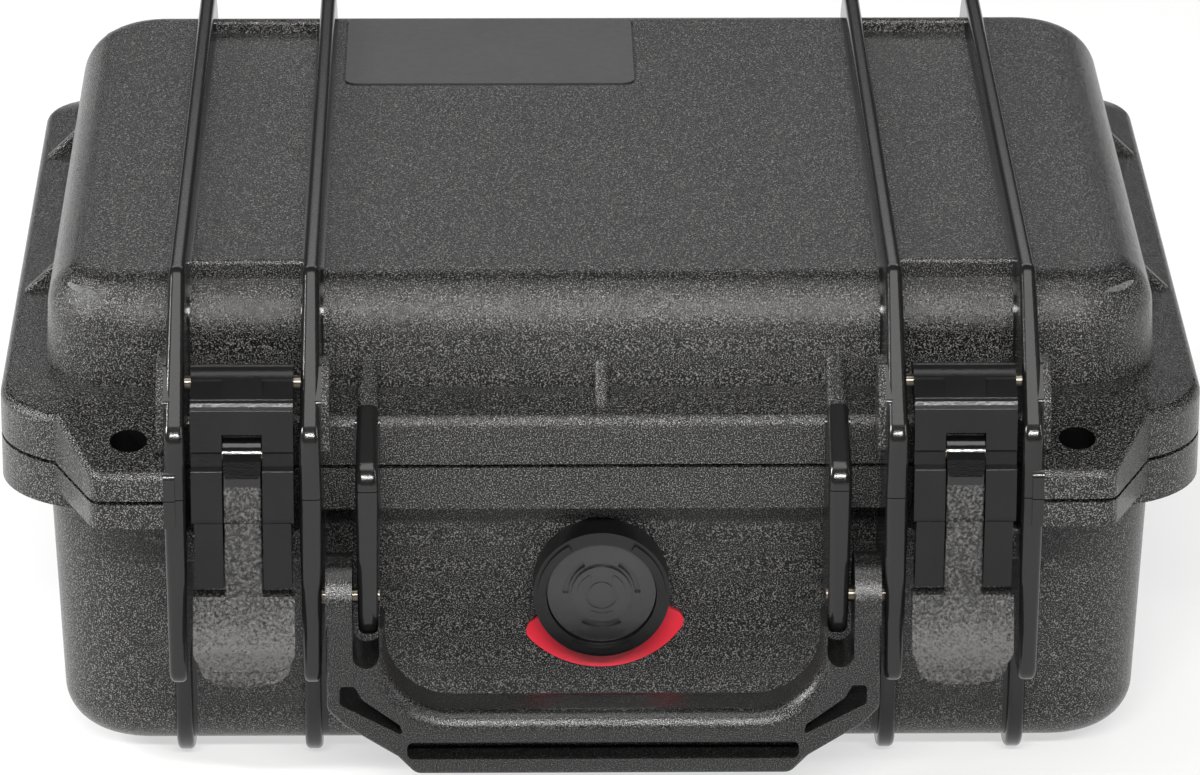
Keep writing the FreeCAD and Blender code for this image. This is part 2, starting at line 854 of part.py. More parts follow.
# The gap that shows round the front and sides where the lid's flange meets the base's, narrower at the ribs
def seam_line():
    far = FLANGE_BACK + " + overrun"
    inside = prism(
        "land", "XY",
        rectangle("body_half_width + land_out", "-body_half_depth - land_out", "body_half_depth + land_out"),
        "seam_height - overrun", "seam_height + overrun", corners=[(ALL_FOUR, "plan_corner + land_out")],
    )
    tools = []
    for name, gap, near in (
        ("seam_room", "seam_gap", front("tab_front + overrun")),
        ("rib_seam_room", "rib_seam_gap", front("rib_stand + overrun")),
    ):
        outline = rectangle("flange_half_width + overrun", near, far)
        room = prism(name, "XY", outline, f"seam_height - {gap}", "seam_height")
        kept = [inside]
        for word, side in SIDES.items():
            if gap == "seam_gap":
                for rib_name, x, wide in (
                    ("outer", "rib_outer_x", "rib_wide"),
                    ("inner", "rib_inner_x", "rib_wide"),
                    ("ear", "ear_rib_x", "ear_rib_wide"),
                ):
                    kept.append(seam_keeper(
                        f"{name}_{rib_name}_{word}", f"{x} - {wide} / 2", f"{x} + {wide} / 2",
                        front("rib_stand + overrun"), FRONT, side,
                    ))
            kept.append(seam_keeper(
                f"{name}_hinge_{word}", "rib_inner_x - rib_wide", "rib_outer_x + rib_wide", BACK,
                far + " + overrun", side,
            ))
        tools.append(without(name + "_open", room, [kept]))
    return tools


def seam_keeper(name, low, high, near, far, side):
    return prism(
        name, "XY", [(low, near), (high, near), (high, far), (low, far)],
        "seam_height - overrun", "seam_height + overrun", side,
    )


# The hollow inside a skin, one wall in from it
def cavity(name, end, edge_round, in_base):
    inside = rectangle("body_half_width - wall", "-body_half_depth + wall", "body_half_depth - wall")
    low, high = (end, "seam_height") if in_base else ("seam_height", end)
    hollow = prism(
        name, "XY", inside, low, high, taper="draft_angle", down=in_base,
        corners=[(ALL_FOUR, "plan_corner - wall")],
    )
    rounded(hollow, name + "_round", hollow.Tip, level_edges(hollow.Tip, end), edge_round)
    return hollow


# The flat panel round the valve, square to the drafted skin
def shield_pad():
    top = "pad_top - valve_height"
    neck = "pad_neck - valve_height"
    points = [
        ("pad_half_width", top),
        ("pad_half_width", neck),
        ("pad_waist", "0 * overrun"),
        ("pad_waist * pad_foot_share", "-pad_waist * pad_foot_drop_share"),
        ("-pad_waist * pad_foot_share", "-pad_waist * pad_foot_drop_share"),
        ("-pad_waist", "0 * overrun"),
        ("-pad_half_width", neck),
        ("-pad_half_width", top),
    ]
    pad = prism(
        "shield", "XZ", points, "-pad_proud", "wall / 2",
        corners=[([2, 5], "pad_waist"), ([3, 4], "pad_waist * pad_foot_round_share")],
    )
    return tilted(pad)


def valve_hole():
    hole = disc("valve_hole", "valve_thread_radius", "-overrun", "wall + overrun")
    return tilted(hole)


# A round solid about the valve's axis, from low to high along Y
def disc(name, radius, low, high):
    body = document.addObject("PartDesign::Body", name)
    sketch = body.newObject("Sketcher::SketchObject", name + "_outline")
    origin_plane = [o for o in body.Origin.OriginFeatures if o.Role == NORMAL_OF["XZ"]][0]
    sketch.AttachmentSupport = [(origin_plane, "")]
    sketch.MapMode = "FlatFace"
    sketch.setExpression("AttachmentOffset.Base.z", bound(minus(high)))
    sketch.addGeometry(Part.Circle(FreeCAD.Vector(), FreeCAD.Vector(0, 0, 1), amount_of(radius)), False)
    sketch.addConstraint(Sketcher.Constraint("Coincident", 0, 3, -1, 1))
    number = sketch.addConstraint(Sketcher.Constraint("Radius", 0, amount_of(radius)))
    sketch.setExpression(f"Constraints[{number}]", bound(radius))
    pad = body.newObject("PartDesign::Pad", name + "_pad")
    pad.Profile = sketch
    pad.setExpression("Length", bound(f"({high}) - ({low})"))
    document.recompute()
    stop_if_failed(pad)
    return body


# Stands a piece made at the origin on the front skin at the valve's height, square to the skin
def tilted(thing, shift="0 * overrun"):
    turn = FreeCAD.Rotation(FreeCAD.Vector(1, 0, 0), amount_of("draft_angle"))
    thing.Placement = FreeCAD.Placement(FreeCAD.Vector(), turn)
    thing.setExpression("Placement.Base.y", bound(f"-{skin_depth('valve_height')} + {shift}"))
    thing.setExpression("Placement.Base.z", bound("valve_height"))
    document.recompute()
    return thing


def base_pins():
    for word, side in SIDES.items():
        sub_part(
            f"hinge_pin_{word}",
            bar(
                f"hinge_pin_{word}", "X", "hinge_pin_radius", "rib_inner_x - rib_wide / 2",
                "rib_outer_x + rib_wide / 2", (f"{HINGE_Y} + {BODY_Y}", "seam_height"), side,
            ),
            False,
        )
        sub_part(
            f"handle_pin_{word}",
            bar(
                f"handle_pin_{word}", "X", "handle_pin_radius", "ear_rib_x - ear_rib_wide / 2",
                "rib_inner_x + rib_wide / 2 - pin_inset",
                (f"{HANDLE_PIN_Y} + {BODY_Y}", "handle_pin_height"), side,
            ),
            False,
        )


# Lid

def lid_tab(name, side):
    high = "seam_height + tab_back_height"
    profile = [
        (front("tab_front"), "seam_height"),
        (front("tab_front"), "seam_height + tab_front_height"),
        (front("tab_slope_back"), high),
        (front("0 * overrun"), high),
        (front("0 * overrun"), "seam_height"),
    ]
    plan = tab_plan(name + "_plan", "seam_height", "seam_height + tab_gusset_drop", side)
    plate = prism(name + "_plate", "YZ", profile, "rib_outer_x - overrun", "tab_root_side + overrun", side)
    tab = common(name + "_blank", plan, plate)
    top = (
        FreeCAD.Vector(0, amount_of(front("tab_front")), amount_of("seam_height + tab_front_height")),
        FreeCAD.Vector(0, amount_of(front("tab_slope_back")), amount_of(high)),
    )
    places = [(v.y, v.z) for v in top]

    def on_top(edge):
        along = [in_plane("YZ", v.Point) for v in edge.Vertexes]
        if len(along) < 2 or not on_side(along, *places):
            return False
        if all(abs(a[0] - places[1][0]) < NEAR for a in along):
            return False
        return any(abs(a[2]) > amount_of("rib_outer_x") + NEAR for a in along)

    return softened(name, tab, "tab_soft", on_top)


def lid_rib(name, x, side):
    points = [
        (front("rib_stand"), "seam_height"),
        (front("rib_stand"), "seam_height + rib_knee"),
        (front("rib_shoulder_front"), "rib_top"),
        ("body_half_depth + rib_back_stand", "rib_top"),
        ("body_half_depth + rib_back_stand", "seam_height"),
    ]
    return rib(
        name, x, "rib_wide", "rib_lid_narrow", "rib_top", points, [0, 1, 2, 3], side,
        corners=[([1], "rib_knee_round"), ([2], "rib_crown_round"), ([3], "rib_back_round")],
    )


def lid_ear_rib(name, side):
    points = [
        (front("ear_rib_stand"), "seam_height"),
        (front("ear_rib_stand"), "seam_height + ear_rib_knee"),
        (front("0 * overrun") + " + wall / 2", "ear_rib_lid_top"),
        (front("0 * overrun") + " + wall / 2", "seam_height"),
    ]
    return rib(
        name, "ear_rib_x", "ear_rib_wide", "ear_rib_narrow", "ear_rib_lid_top", points, [0, 1], side,
        corners=[([1], "rib_knee_round")],
    )


# The two knuckles of one hinge that belong to the lid, with their roots in the ribs
def lid_knuckles(word, side):
    solids = []
    for place in ("inner", "outer"):
        low = f"rib_{place}_x - rib_wide / 2"
        high = f"rib_{place}_x + rib_wide / 2"
        axis = (HINGE_Y, "seam_height")
        solids.append(bar(f"lid_knuckle_{place}_{word}", "X", "hinge_radius", low, high, axis, side))
        web = [
            ("body_half_depth", "seam_height"),
            (HINGE_Y, "seam_height"),
            (HINGE_Y, "seam_height + hinge_radius"),
            ("body_half_depth + rib_back_stand", "seam_height + hinge_web_drop"),
            ("body_half_depth", "seam_height + hinge_web_drop"),
        ]
        solids.append(prism(f"lid_knuckle_web_{place}_{word}", "YZ", web, low, high, side))
    return solids


def pin_boss(name, low, high, side):
    points = [
        (front("boss_front"), "boss_foot"),
        (front("boss_front"), "boss_brow"),
        (front("boss_crown"), "boss_top"),
        (front("boss_back"), "boss_top"),
        (front("boss_back"), "boss_foot"),
    ]
    return prism(name, "YZ", points, low, high, side, corners=[([1, 2, 3], "edge_soft")])


def cross_rib(name, middle, side):
    points = [
        (f"{middle} - cross_rib_wide / 2", "cross_rib_foot"),
        (f"{middle} - cross_rib_wide / 2", "cross_rib_top"),
        (f"{middle} + cross_rib_wide / 2", "cross_rib_top"),
        (f"{middle} + cross_rib_wide / 2", "cross_rib_foot"),
    ]
    corners = [([1, 2], "cross_rib_wide * cross_rib_round_share")]
    return prism(name, "YZ", points, "rib_inner_x", "rib_outer_x", side, corners=corners)


def side_gusset(name, near, side):
    points = [
        ("side_gusset_out", "seam_height + lid_flange_shoulder + edge_soft"),
        ("body_half_width", "side_gusset_top"),
        ("body_half_width - wall / 2", "side_gusset_top"),
        ("body_half_width - wall / 2", "seam_height + lid_flange_shoulder"),
    ]
    far = f"{near} + side_gusset_wide"
    return prism(name, "XZ", points, near, far, side, rims=[([0], "side_gusset_round")])


def lid_shell():
    crown = "seam_height + lid_flange_shoulder + lid_flange_rise"
    skin = prism(
        "lid_skin", "XY", rectangle("body_half_width", FRONT, BACK), "seam_height", "lid_skin_top",
        taper="draft_angle", corners=[(ALL_FOUR, "plan_corner")],
    )
    rounded(skin, "lid_skin_round", skin.Tip, level_edges(skin.Tip, "lid_skin_top"), "lid_edge_round")
    front_shoulder = "seam_height + lid_front_shoulder"
    solids = [
        skin,
        flange(
            "lid_flange", "seam_height", crown, crown, "lid_flange_rise", "lid_flange_run",
            "seam_height + lid_flange_shoulder",
        ),
        prism(
            "lid_brow", "YZ",
            [
                (FLANGE_FRONT, "seam_height"),
                (FLANGE_FRONT, front_shoulder),
                (f"{FLANGE_FRONT} + lid_flange_run", crown),
                (f"{FRONT} + wall / 2", crown),
                (f"{FRONT} + wall / 2", "seam_height"),
            ],
            "-rib_outer_x", "rib_outer_x", corners=[([1], "brow_round")],
        ),
        prism(
            "lid_gusset", "YZ",
            [
                (FLANGE_FRONT, f"{front_shoulder} - brow_round"),
                (f"{FRONT} + wall / 2", "gusset_top"),
                (f"{FRONT} + wall / 2", f"{front_shoulder} - brow_round"),
            ],
            "-gusset_wide / 2", "gusset_wide / 2", rims=[([0], "edge_soft")],
        ),
    ]
    cuts = []
    for word, side in SIDES.items():
        solids += [
            lid_tab(f"lid_tab_{word}", side),
            lid_rib(f"lid_rib_outer_{word}", "rib_outer_x", side),
            lid_rib(f"lid_rib_inner_{word}", "rib_inner_x", side),
            lid_ear_rib(f"lid_ear_{word}", side),
            cross_rib(f"cross_rib_front_{word}", "-cross_rib_front", side),
            cross_rib(f"cross_rib_back_{word}", "cross_rib_back", side),
            side_gusset(f"side_gusset_front_{word}", "-side_gusset_front - side_gusset_wide / 2", side),
            side_gusset(f"side_gusset_back_{word}", "side_gusset_back - side_gusset_wide / 2", side),
            pin_boss(f"pin_boss_inner_{word}", "rib_inner_x - rib_wide / 2 - boss_thick", "rib_inner_x", side),
            pin_boss(f"pin_boss_outer_{word}", "rib_outer_x", "rib_outer_x + rib_wide / 2 + boss_thick", side),
        ]
        solids += lid_knuckles(word, side)
        cuts += [
            bar(
                f"lid_hinge_bore_{word}", "X", "hinge_pin_radius + running_clearance",
                "rib_inner_x - rib_wide / 2 - overrun", "rib_outer_x + rib_wide / 2 + overrun",
                (HINGE_Y, "seam_height"), side,
            ),
            bar(
                f"barrel_room_{word}", "X", "hinge_radius + hinge_gap", "rib_inner_x + rib_wide / 2",
                "rib_outer_x - rib_wide / 2", (HINGE_Y, "seam_height"), side,
            ),
            bar(
                f"lid_padlock_bore_{word}", "Z", "padlock_radius", "seam_height - overrun",
                "seam_height + tab_gusset_drop + overrun", ("padlock_x", front("padlock_front")), side,
            ),
            bar(
                f"latch_pin_bore_{word}", "X", "latch_pin_radius",
                "rib_inner_x - rib_wide / 2 - boss_thick + pin_inset",
                "rib_outer_x + rib_wide / 2 + boss_thick - pin_inset", (LATCH_PIN_Y, "latch_pin_height"), side,
            ),
        ]
    groove_top = "seam_height + tongue_height + seal_gap + seal_thickness"
    groove = rim_ring(
        "groove", "tongue_out - groove_clearance", f"{TONGUE_OUT} + groove_clearance",
        "seam_height - tongue_height", groove_top,
    )
    hollow = cavity("lid_cavity", "lid_skin_top - roof_wall", "lid_edge_round - wall", False)
    seat = plate_blank("plate_seat", "lid_skin_top + overrun", "plate_gap")
    cuts = [cuts, groove, hollow, seat]
    parted("lid", without("lid_whole", joined("lid_solid", solids), cuts))
    sub_part(
        "lid_seal",
        rim_ring(
            "lid_seal", "tongue_out - groove_clearance + seal_side_clearance",
            f"{TONGUE_OUT} + groove_clearance - seal_side_clearance",
            "seam_height + tongue_height + seal_gap", groove_top,
        ),
    )
    sub_part("lid_nameplate", plate_blank("lid_nameplate", "lid_skin_top - plate_sink + plate_thick"))
    for word, side in SIDES.items():
        sub_part(
            f"latch_{word}_arm_pin",
            bar(
                f"latch_{word}_arm_pin", "X", "latch_pin_radius",
                "rib_inner_x - rib_wide / 2 - boss_thick + pin_inset",
                "rib_outer_x + rib_wide / 2 + boss_thick - pin_inset",
                (f"{LATCH_PIN_Y} + {BODY_Y}", "latch_pin_height"), side,
            ),
            False,
        )


def plate_blank(name, high, gap="0 * overrun"):
    left = f"-plate_x - plate_width / 2 - {gap}"
    right = f"-plate_x + plate_width / 2 + {gap}"
    near = f"plate_back - plate_depth / 2 - {gap}"
    far = f"plate_back + plate_depth / 2 + {gap}"
    return prism(
        name, "XY", [(left, near), (right, near), (right, far), (left, far)],
        "lid_skin_top - plate_sink", high, corners=[(ALL_FOUR, f"plate_corner + {gap}")],
    )


# Latches

def latch_arm(word, side):
    throat = (front("rail_back"), "rail_throat")
    root = (front("latch_pin_stand"), "latch_pin_height - latch_knuckle")
    crown = (front("latch_pin_stand"), "latch_pin_height + latch_knuckle")
    brow = (front("arm_brow_stand"), "arm_brow_height")
    lip = (front("arm_lip_stand"), "arm_lip_height")
    cove = (front("arm_cove_stand"), "arm_cove_height")
    cove_foot = (front("arm_cove_foot_stand"), "arm_cove_foot_height")
    rail = [
        crown,
        (front("arm_shoulder_stand"), "arm_shoulder_height"),
        (front("arm_shoulder_stand"), "arm_shoulder_height - arm_shoulder_drop"),
        brow,
        cove,
        cove_foot,
        lip,
        (front("arm_step_stand"), "arm_step_height"),
        (front("step_cove_stand"), "step_cove_height"),
        (front("step_cove_foot_stand"), "step_cove_foot_height"),
        (front("arm_belly_stand"), "arm_belly_height"),
        (front("rail_front"), "rail_front_height"),
        (front("rail_foot_stand"), "rail_foot"),
        (front("rail_back"), "rail_foot"),
        throat,
        root,
    ]
    bridge = [
        crown,
        brow,
        cove,
        cove_foot,
        lip,
        (front("(arm_lip_stand + arm_step_stand) / 2"), "bridge_foot"),
        (front("rail_back"), "bridge_foot"),
        throat,
        root,
    ]
    outer_low = f"{LATCH_X} - latch_width / 2"
    outer_high = f"{LATCH_X} + latch_width / 2"
    inner_low = f"{LATCH_X} - latch_stem_width / 2 - latch_stem_gap"
    inner_high = f"{LATCH_X} + latch_stem_width / 2 + latch_stem_gap"
    arm_axis = (LATCH_PIN_Y, "latch_pin_height")
    edges = [([3, 6, 7, 10], "cove_round")]
    solids = [
        prism(f"rail_in_{word}", "YZ", rail, outer_low, inner_low, side, corners=edges),
        prism(f"rail_out_{word}", "YZ", rail, inner_high, outer_high, side, corners=edges),
        prism(f"bridge_{word}", "YZ", bridge, inner_low, inner_high, side, corners=[([1, 4], "cove_round")]),
        bar(f"arm_knuckle_{word}", "X", "latch_knuckle", outer_low, outer_high, arm_axis, side),
    ]
    cuts = [
        bar(
            f"arm_bore_{word}", "X", "latch_pin_radius + running_clearance", f"{outer_low} - overrun",
            f"{outer_high} + overrun", (LATCH_PIN_Y, "latch_pin_height"), side,
        ),
        bar(
            f"arm_lever_bore_{word}", "X", "latch_pin_radius", f"{outer_low} - overrun",
            f"{outer_high} + overrun", (LEVER_PIN_Y, "lever_pin_height"), side,
        ),
        fold(f"arm_fold_{word}", "rail_front", outer_low, outer_high, side),
    ]
    waist = [
        (front("rail_front + overrun"), "rail_front_height - fold_wide / 2"),
        (front("rail_back - overrun"), "rail_front_height - fold_wide / 2"),
        (front("rail_back - overrun"), "rail_foot - overrun"),
        (front("rail_front + overrun"), "rail_foot - overrun"),
    ]
    cuts += [
        prism(f"waist_in_{word}", "YZ", waist, f"{outer_low} - overrun", f"{outer_low} + rail_waist", side),
        prism(f"waist_out_{word}", "YZ", waist, f"{outer_high} - rail_waist", f"{outer_high} + overrun", side),
    ]
    sub_part(f"latch_{word}_arm", without(f"latch_{word}_arm", joined(f"arm_solid_{word}", solids), [cuts]))
    sub_part(
        f"latch_{word}_lever_pin",
        bar(
            f"latch_{word}_lever_pin", "X", "latch_pin_radius", outer_low, outer_high,
            (f"{LEVER_PIN_Y} + {BODY_Y}", "lever_pin_height"), side,
        ),
        False,
    )


# The shallow fold line across the front of an arm or a lever
def fold(name, face, low, high, side):
    points = [
        (front(f"{face} + overrun"), "rail_front_height - fold_wide / 2"),
        (front(f"{face} + overrun"), "rail_front_height + fold_wide / 2"),
        (front(f"{face} - fold_deep"), "rail_front_height + fold_wide / 2"),
        (front(f"{face} - fold_deep"), "rail_front_height - fold_wide / 2"),
    ]
    return prism(name, "YZ", points, f"{low} - overrun", f"{high} + overrun", side)


def latch_lever(word, side):
    stem_back = front("lever_front - lever_stem_thick")
    stem = [
        (front("lever_pin_stand + latch_knuckle"), "lever_pin_height"),
        (front("lever_front"), "lever_pin_height - latch_knuckle"),
        (front("lever_front"), "tab_top - tab_thick"),
        (stem_back, "tab_top - tab_thick"),
        (stem_back, "lever_pin_height - latch_knuckle"),
        (front("lever_pin_stand"), "lever_pin_height - latch_knuckle"),
        (front("lever_pin_stand"), "lever_pin_height"),
    ]
    pull = [
        (front("lever_front"), "tab_top"),
        (front("tab_brow_stand"), "tab_brow_height"),
        (front("tab_bulge"), "tab_bulge_height"),
        (front("tab_chin_stand"), "tab_chin_height"),
        (front("tab_chin_stand - tab_thick"), "tab_chin_height"),
        (front("tab_bulge - tab_thick"), "tab_bulge_height"),
        (front("lever_front - tab_top_thick"), "tab_top"),
    ]
    middle = [
        (front("lever_front"), "tab_top"),
        (front("tab_brow_stand + tab_middle_proud"), "tab_brow_height"),
        (front("tab_bulge"), "tab_bulge_height"),
        (front("tab_chin_stand + tab_middle_proud"), "tab_chin_height"),
        (front("tab_chin_stand - tab_thick"), "tab_chin_height"),
        (front("lever_front - tab_top_thick"), "tab_top"),
    ]
    claw = [
        (stem_back + " - edge_soft", "claw_top - claw_thick"),
        (front("claw_back"), "claw_top - claw_thick"),
        (front("claw_back"), "claw_top"),
        (stem_back + " - edge_soft", "claw_top"),
    ]
    low = f"{LATCH_X} - latch_stem_width / 2"
    high = f"{LATCH_X} + latch_stem_width / 2"
    solids = [
        prism(f"stem_{word}", "YZ", stem, low, high, side, rims=[([1], "rail_round")]),
        bar(f"lever_knuckle_{word}", "X", "latch_knuckle", low, high, (LEVER_PIN_Y, "lever_pin_height"), side),
        prism(
            f"pull_{word}", "YZ", pull, f"{LATCH_X} - latch_width / 2", f"{LATCH_X} + latch_width / 2", side,
            corners=[([1, 2], "tab_thick")], rims=[([3], "tab_end_round")],
        ),
        prism(f"pull_middle_{word}", "YZ", middle, low, high, side, corners=[([1, 2], "tab_thick")]),
        lip(f"lip_{word}", "latch_width / 2 - tab_lip_inset", "tab_foot", "tab_end_round", side),
        lip(f"lip_tongue_{word}", "latch_stem_width / 2", "tab_foot - tab_lip_tongue", "tab_lip_tongue", side),
        prism(f"claw_{word}", "YZ", claw, low, high, side, corners=[([2], "edge_soft")]),
    ]
    head = [
        (front("lever_front + overrun"), "lever_head_height"),
        (front("lever_pin_stand + latch_knuckle - lever_head_deep"), "lever_head_height"),
        (front("lever_front - lever_head_deep"), "lever_head_height - latch_knuckle + lever_head_band"),
        (front("lever_front + overrun"), "lever_head_height - latch_knuckle"),
    ]
    bore = bar(
        f"lever_bore_{word}", "X", "latch_pin_radius + running_clearance", f"{low} - overrun",
        f"{high} + overrun", (LEVER_PIN_Y, "lever_pin_height"), side,
    )
    cuts = [
        bore,
        fold(f"lever_fold_{word}", "lever_front", low, high, side),
        prism(f"lever_head_{word}", "YZ", head, f"{low} - overrun", f"{high} + overrun", side),
    ]
    lever = without(f"latch_{word}_lever", joined(f"lever_solid_{word}", solids), [cuts])
    sub_part(f"latch_{word}_lever", lever)


# The thin lip that shows below a lever's pull
def lip(name, half_width, foot, corner, side):
    left = f"{LATCH_X} - ({half_width})"
    right = f"{LATCH_X} + ({half_width})"
    top = "tab_chin_height + tab_lip_overlap"
    return prism(
        name, "XZ", [(left, top), (right, top), (right, foot), (left, foot)],
        front("tab_chin_stand - tab_lip_back"), front("tab_chin_stand - tab_lip_back - tab_lip_thick"), side,
        corners=[([2, 3], corner)],
    )


# Handle

def handle():
    right = [
        ("handle_half_width", "handle_pin_height"),
        ("handle_half_width", "foot_high"),
        ("foot_x", "foot_low"),
        ("lip_knee_x", "lip_knee_height"),
        ("lip_half_width", "lip_foot"),
    ]
    outline = right + [(minus(x), z) for x, z in reversed(right)]
    near = front("handle_front")
    far = front("handle_back")
    plate = prism(
        "handle_plate", "XZ", outline, near, far,
        corners=[([1, 8], "foot_round"), ([2, 7], "knee_round"), ([4, 5], "lip_corner")],
        rims=[([0, 1, 2, 3, 4, 5, 6, 7, 8], "lip_round")],
    )
    above = "handle_pin_height + handle_boss_radius + overrun"
    opening = prism(
        "handle_opening", "XZ",
        [("-cusp_x", above), ("-cusp_x", "grip_top"), ("cusp_x", "grip_top"), ("cusp_x", above)],
        f"{near} - overrun", f"{far} + overrun", corners=[([1, 2], "grip_corner")],
    )
    frame = without("handle_frame", plate, [opening])
    grip_line = amount_of("grip_top")
    depths = (amount_of(near), amount_of(far))

    def on_grip(edge):
        return len(edge.Vertexes) == 2 and all(
            abs(v.Z - grip_line) < NEAR and min(abs(v.Y - d) for d in depths) < NEAR for v in edge.Vertexes
        )

    solids = [softened("handle_grip", frame, "grip_round", on_grip)]
    cuts = [
        prism(
            "handle_groove", "XZ", rectangle("groove_half_width", "lip_top", "grip_foot"),
            f"{near} - overrun", front("grip_web_front"), corners=[(ALL_FOUR, "edge_soft")],
        ),
        prism(
            "handle_head_room", "XZ", rectangle("handle_arm_inner", "cusp_height", above),
            f"{near} - overrun", f"{far} + overrun",
        ),
    ]
    bores = []
    for word, side in SIDES.items():
        solids.append(
            bar(
                f"handle_boss_{word}", "X", "handle_boss_radius", "handle_arm_inner", "handle_half_width",
                (HANDLE_PIN_Y, "handle_pin_height"), side,
            )
        )
        cuts += [
            prism(
                f"handle_slot_{word}", "XZ",
                [
                    ("slot_inner", above), ("slot_inner", "slot_foot"),
                    ("handle_arm_inner", "slot_foot"), ("handle_arm_inner", above),
                ],
                f"{near} - overrun", f"{far} + overrun", side,
                corners=[([1, 2], "(handle_arm_inner - slot_inner) * slot_round_share")],
            ),
            prism(
                f"handle_pocket_{word}", "XZ",
                [
                    ("pocket_outer", "pocket_high"),
                    ("pocket_high_x", "pocket_high"),
                    ("pocket_side_x", "pocket_side_height"),
                    ("pocket_inner_x", "pocket_inner_low"),
                    ("pocket_tip_x", "pocket_tip_low"),
                    ("pocket_outer", "pocket_low_outer"),
                ],
                f"{near} - overrun", f"{far} + overrun", side,
                corners=[([0, 1, 2, 3, 5], "pocket_round"), ([4], "pocket_tip_round")],
            ),
        ]
        bores.append(
            bar(
                f"handle_bore_{word}", "X", "handle_pin_radius + running_clearance",
                "handle_arm_inner - overrun", "handle_half_width + overrun",
                (HANDLE_PIN_Y, "handle_pin_height"), side,
            )
        )
    sub_part("handle", without("handle", joined("handle_solid", solids), cuts + [bores]))


# Valve

# A wedge about the valve's axis, from one angle to another, to cut arcs from rings
def wedge(name, start, sweep, low, high):
    reach = "valve_radius * 2"
    points = [("0 * overrun", "0 * overrun")]
    for share in (0, 0.5, 1):
        angle = f"({start} + {share} * ({sweep}))"
        points.append((f"{reach} * cos({angle})", f"{reach} * sin({angle})"))
    return prism(name, "XZ", points, low, high)


def ring(name, inner, outer, low, high):
    return without(name, disc(name + "_outer", outer, low, high),
                   [disc(name + "_inner", inner, f"{low} - overrun", f"{high} + overrun")])


CLOCK_PLACES = {"right": 30, "left": 150, "low": 270}


def valve():
    face = "(-pad_proud - valve_stand)"
    seal_face = "-pad_proud - valve_seal_thick"
    floor = f"({face} + valve_recess + valve_cap_thick)"
    solids = [
        disc("valve_rim", "valve_radius", face, "-pad_proud"),
        disc(
            "valve_thread", "valve_thread_radius - valve_hole_clearance", "-pad_proud", "valve_thread_length",
        ),
    ]
    for word, clock in CLOCK_PLACES.items():
        band = ring(f"valve_rail_ring_{word}", "valve_rail_inner", "valve_rail_outer",
                    f"{face} - valve_rail_rise", f"{face} + valve_rail_rise")
        part = wedge(f"valve_rail_wedge_{word}", f"{clock} - valve_rail_arc / 2", "valve_rail_arc",
                     f"{face} - overrun", f"{face} + overrun")
        solids.append(common(f"valve_rail_{word}", band, part))
    cuts = [
        disc("valve_well", "valve_ring_inner", f"{face} - overrun", floor),
        disc("valve_bore", "valve_bore_radius", f"{face} - overrun", "valve_thread_length + overrun"),
        ring("valve_seat", "valve_seal_inner", "valve_seal_radius", seal_face, "-pad_proud"),
    ]
    body = without("valve_body", joined("valve_solid", solids), cuts)
    sub_part("valve_body", tilted(body, BODY_Y), False)
    sub_part(
        "valve_seal",
        tilted(
            ring("valve_seal", "valve_seal_inner", "valve_seal_radius", seal_face, "-pad_proud"),
            BODY_Y,
        ),
        False,
    )
    sub_part(
        "valve_nut",
        tilted(
            ring("valve_nut", "valve_thread_radius", "valve_nut_radius", "wall / cos(draft_angle)",
                 "wall / cos(draft_angle) + valve_nut_thick"),
            BODY_Y,
        ),
        False,
    )
    sub_part(
        "valve_membrane",
        tilted(
            disc("valve_membrane", "valve_bore_radius", "wall", "wall + valve_membrane_thick"),
            BODY_Y,
        ),
        False,
    )
    slots = []
    for word, clock in CLOCK_PLACES.items():
        band = ring(f"valve_slot_ring_{word}", "valve_slot_inner", "valve_slot_outer", f"{floor} - overrun",
                    f"{floor} - valve_cap_thick / 2")
        part = wedge(f"valve_slot_wedge_{word}", f"{clock} - valve_slot_arc / 2", "valve_slot_arc",
                     f"{floor} - overrun * 2", f"{floor} + overrun")
        slots.append(common(f"valve_slot_{word}", band, part))
    hub_top = f"{floor} - valve_cap_thick - valve_hub_rise"
    cap_solids = [
        disc("valve_cap_plate", "valve_cap_radius", f"{floor} - valve_cap_thick", floor),
        disc("valve_cap_hub", "valve_hub_radius", hub_top, floor),
    ]
    for word, clock in CLOCK_PLACES.items():
        band = ring(f"valve_mark_ring_{word}", "valve_mark_inner", "valve_mark_outer",
                    f"{hub_top} - valve_mark_rise", floor)
        part = wedge(f"valve_mark_wedge_{word}", f"{clock} - valve_mark_arc / 2", "valve_mark_arc",
                     f"{hub_top} - overrun", f"{floor} + overrun")
        cap_solids.append(common(f"valve_mark_{word}", band, part))
    slots.append(ring("valve_eye", "valve_eye_inner", "valve_eye_outer", f"{hub_top} - overrun",
                      f"{hub_top} + valve_eye_deep"))
    cap = without("valve_cap", joined("valve_cap_solid", cap_solids), slots)
    sub_part("valve_cap", tilted(cap, BODY_Y), False)
    crescent = common(
        "badge_blank",
        ring("badge_ring", "valve_radius + badge_gap", "badge_radius", "-badge_thick", "0 * overrun"),
        wedge("badge_wedge", "180 + badge_start + badge_turn", "180 - 2 * badge_start", "-overrun", "overrun"),
    )
    outside = amount_of("badge_radius")

    def on_end(edge):
        return len(edge.Vertexes) == 2 and all(
            abs(v.X - edge.Vertexes[0].X) < NEAR and abs((v.X ** 2 + v.Z ** 2) ** 0.5 - outside) < NEAR
            for v in edge.Vertexes
        )

    badge = softened("valve_badge", crescent, "badge_end_round", on_end)
    sub_part("valve_badge", tilted(badge, BODY_Y), False)


# Foam

def foam_block(name, low, high, down):
    inset = "(wall + foam_gap)"
    return prism(
        name, "XY",
        rectangle(f"body_half_width - {inset}", f"-body_half_depth + {inset}", f"body_half_depth - {inset}"),
        low, high, taper="draft_angle", down=down, corners=[(ALL_FOUR, f"plan_corner - {inset}")],
    )


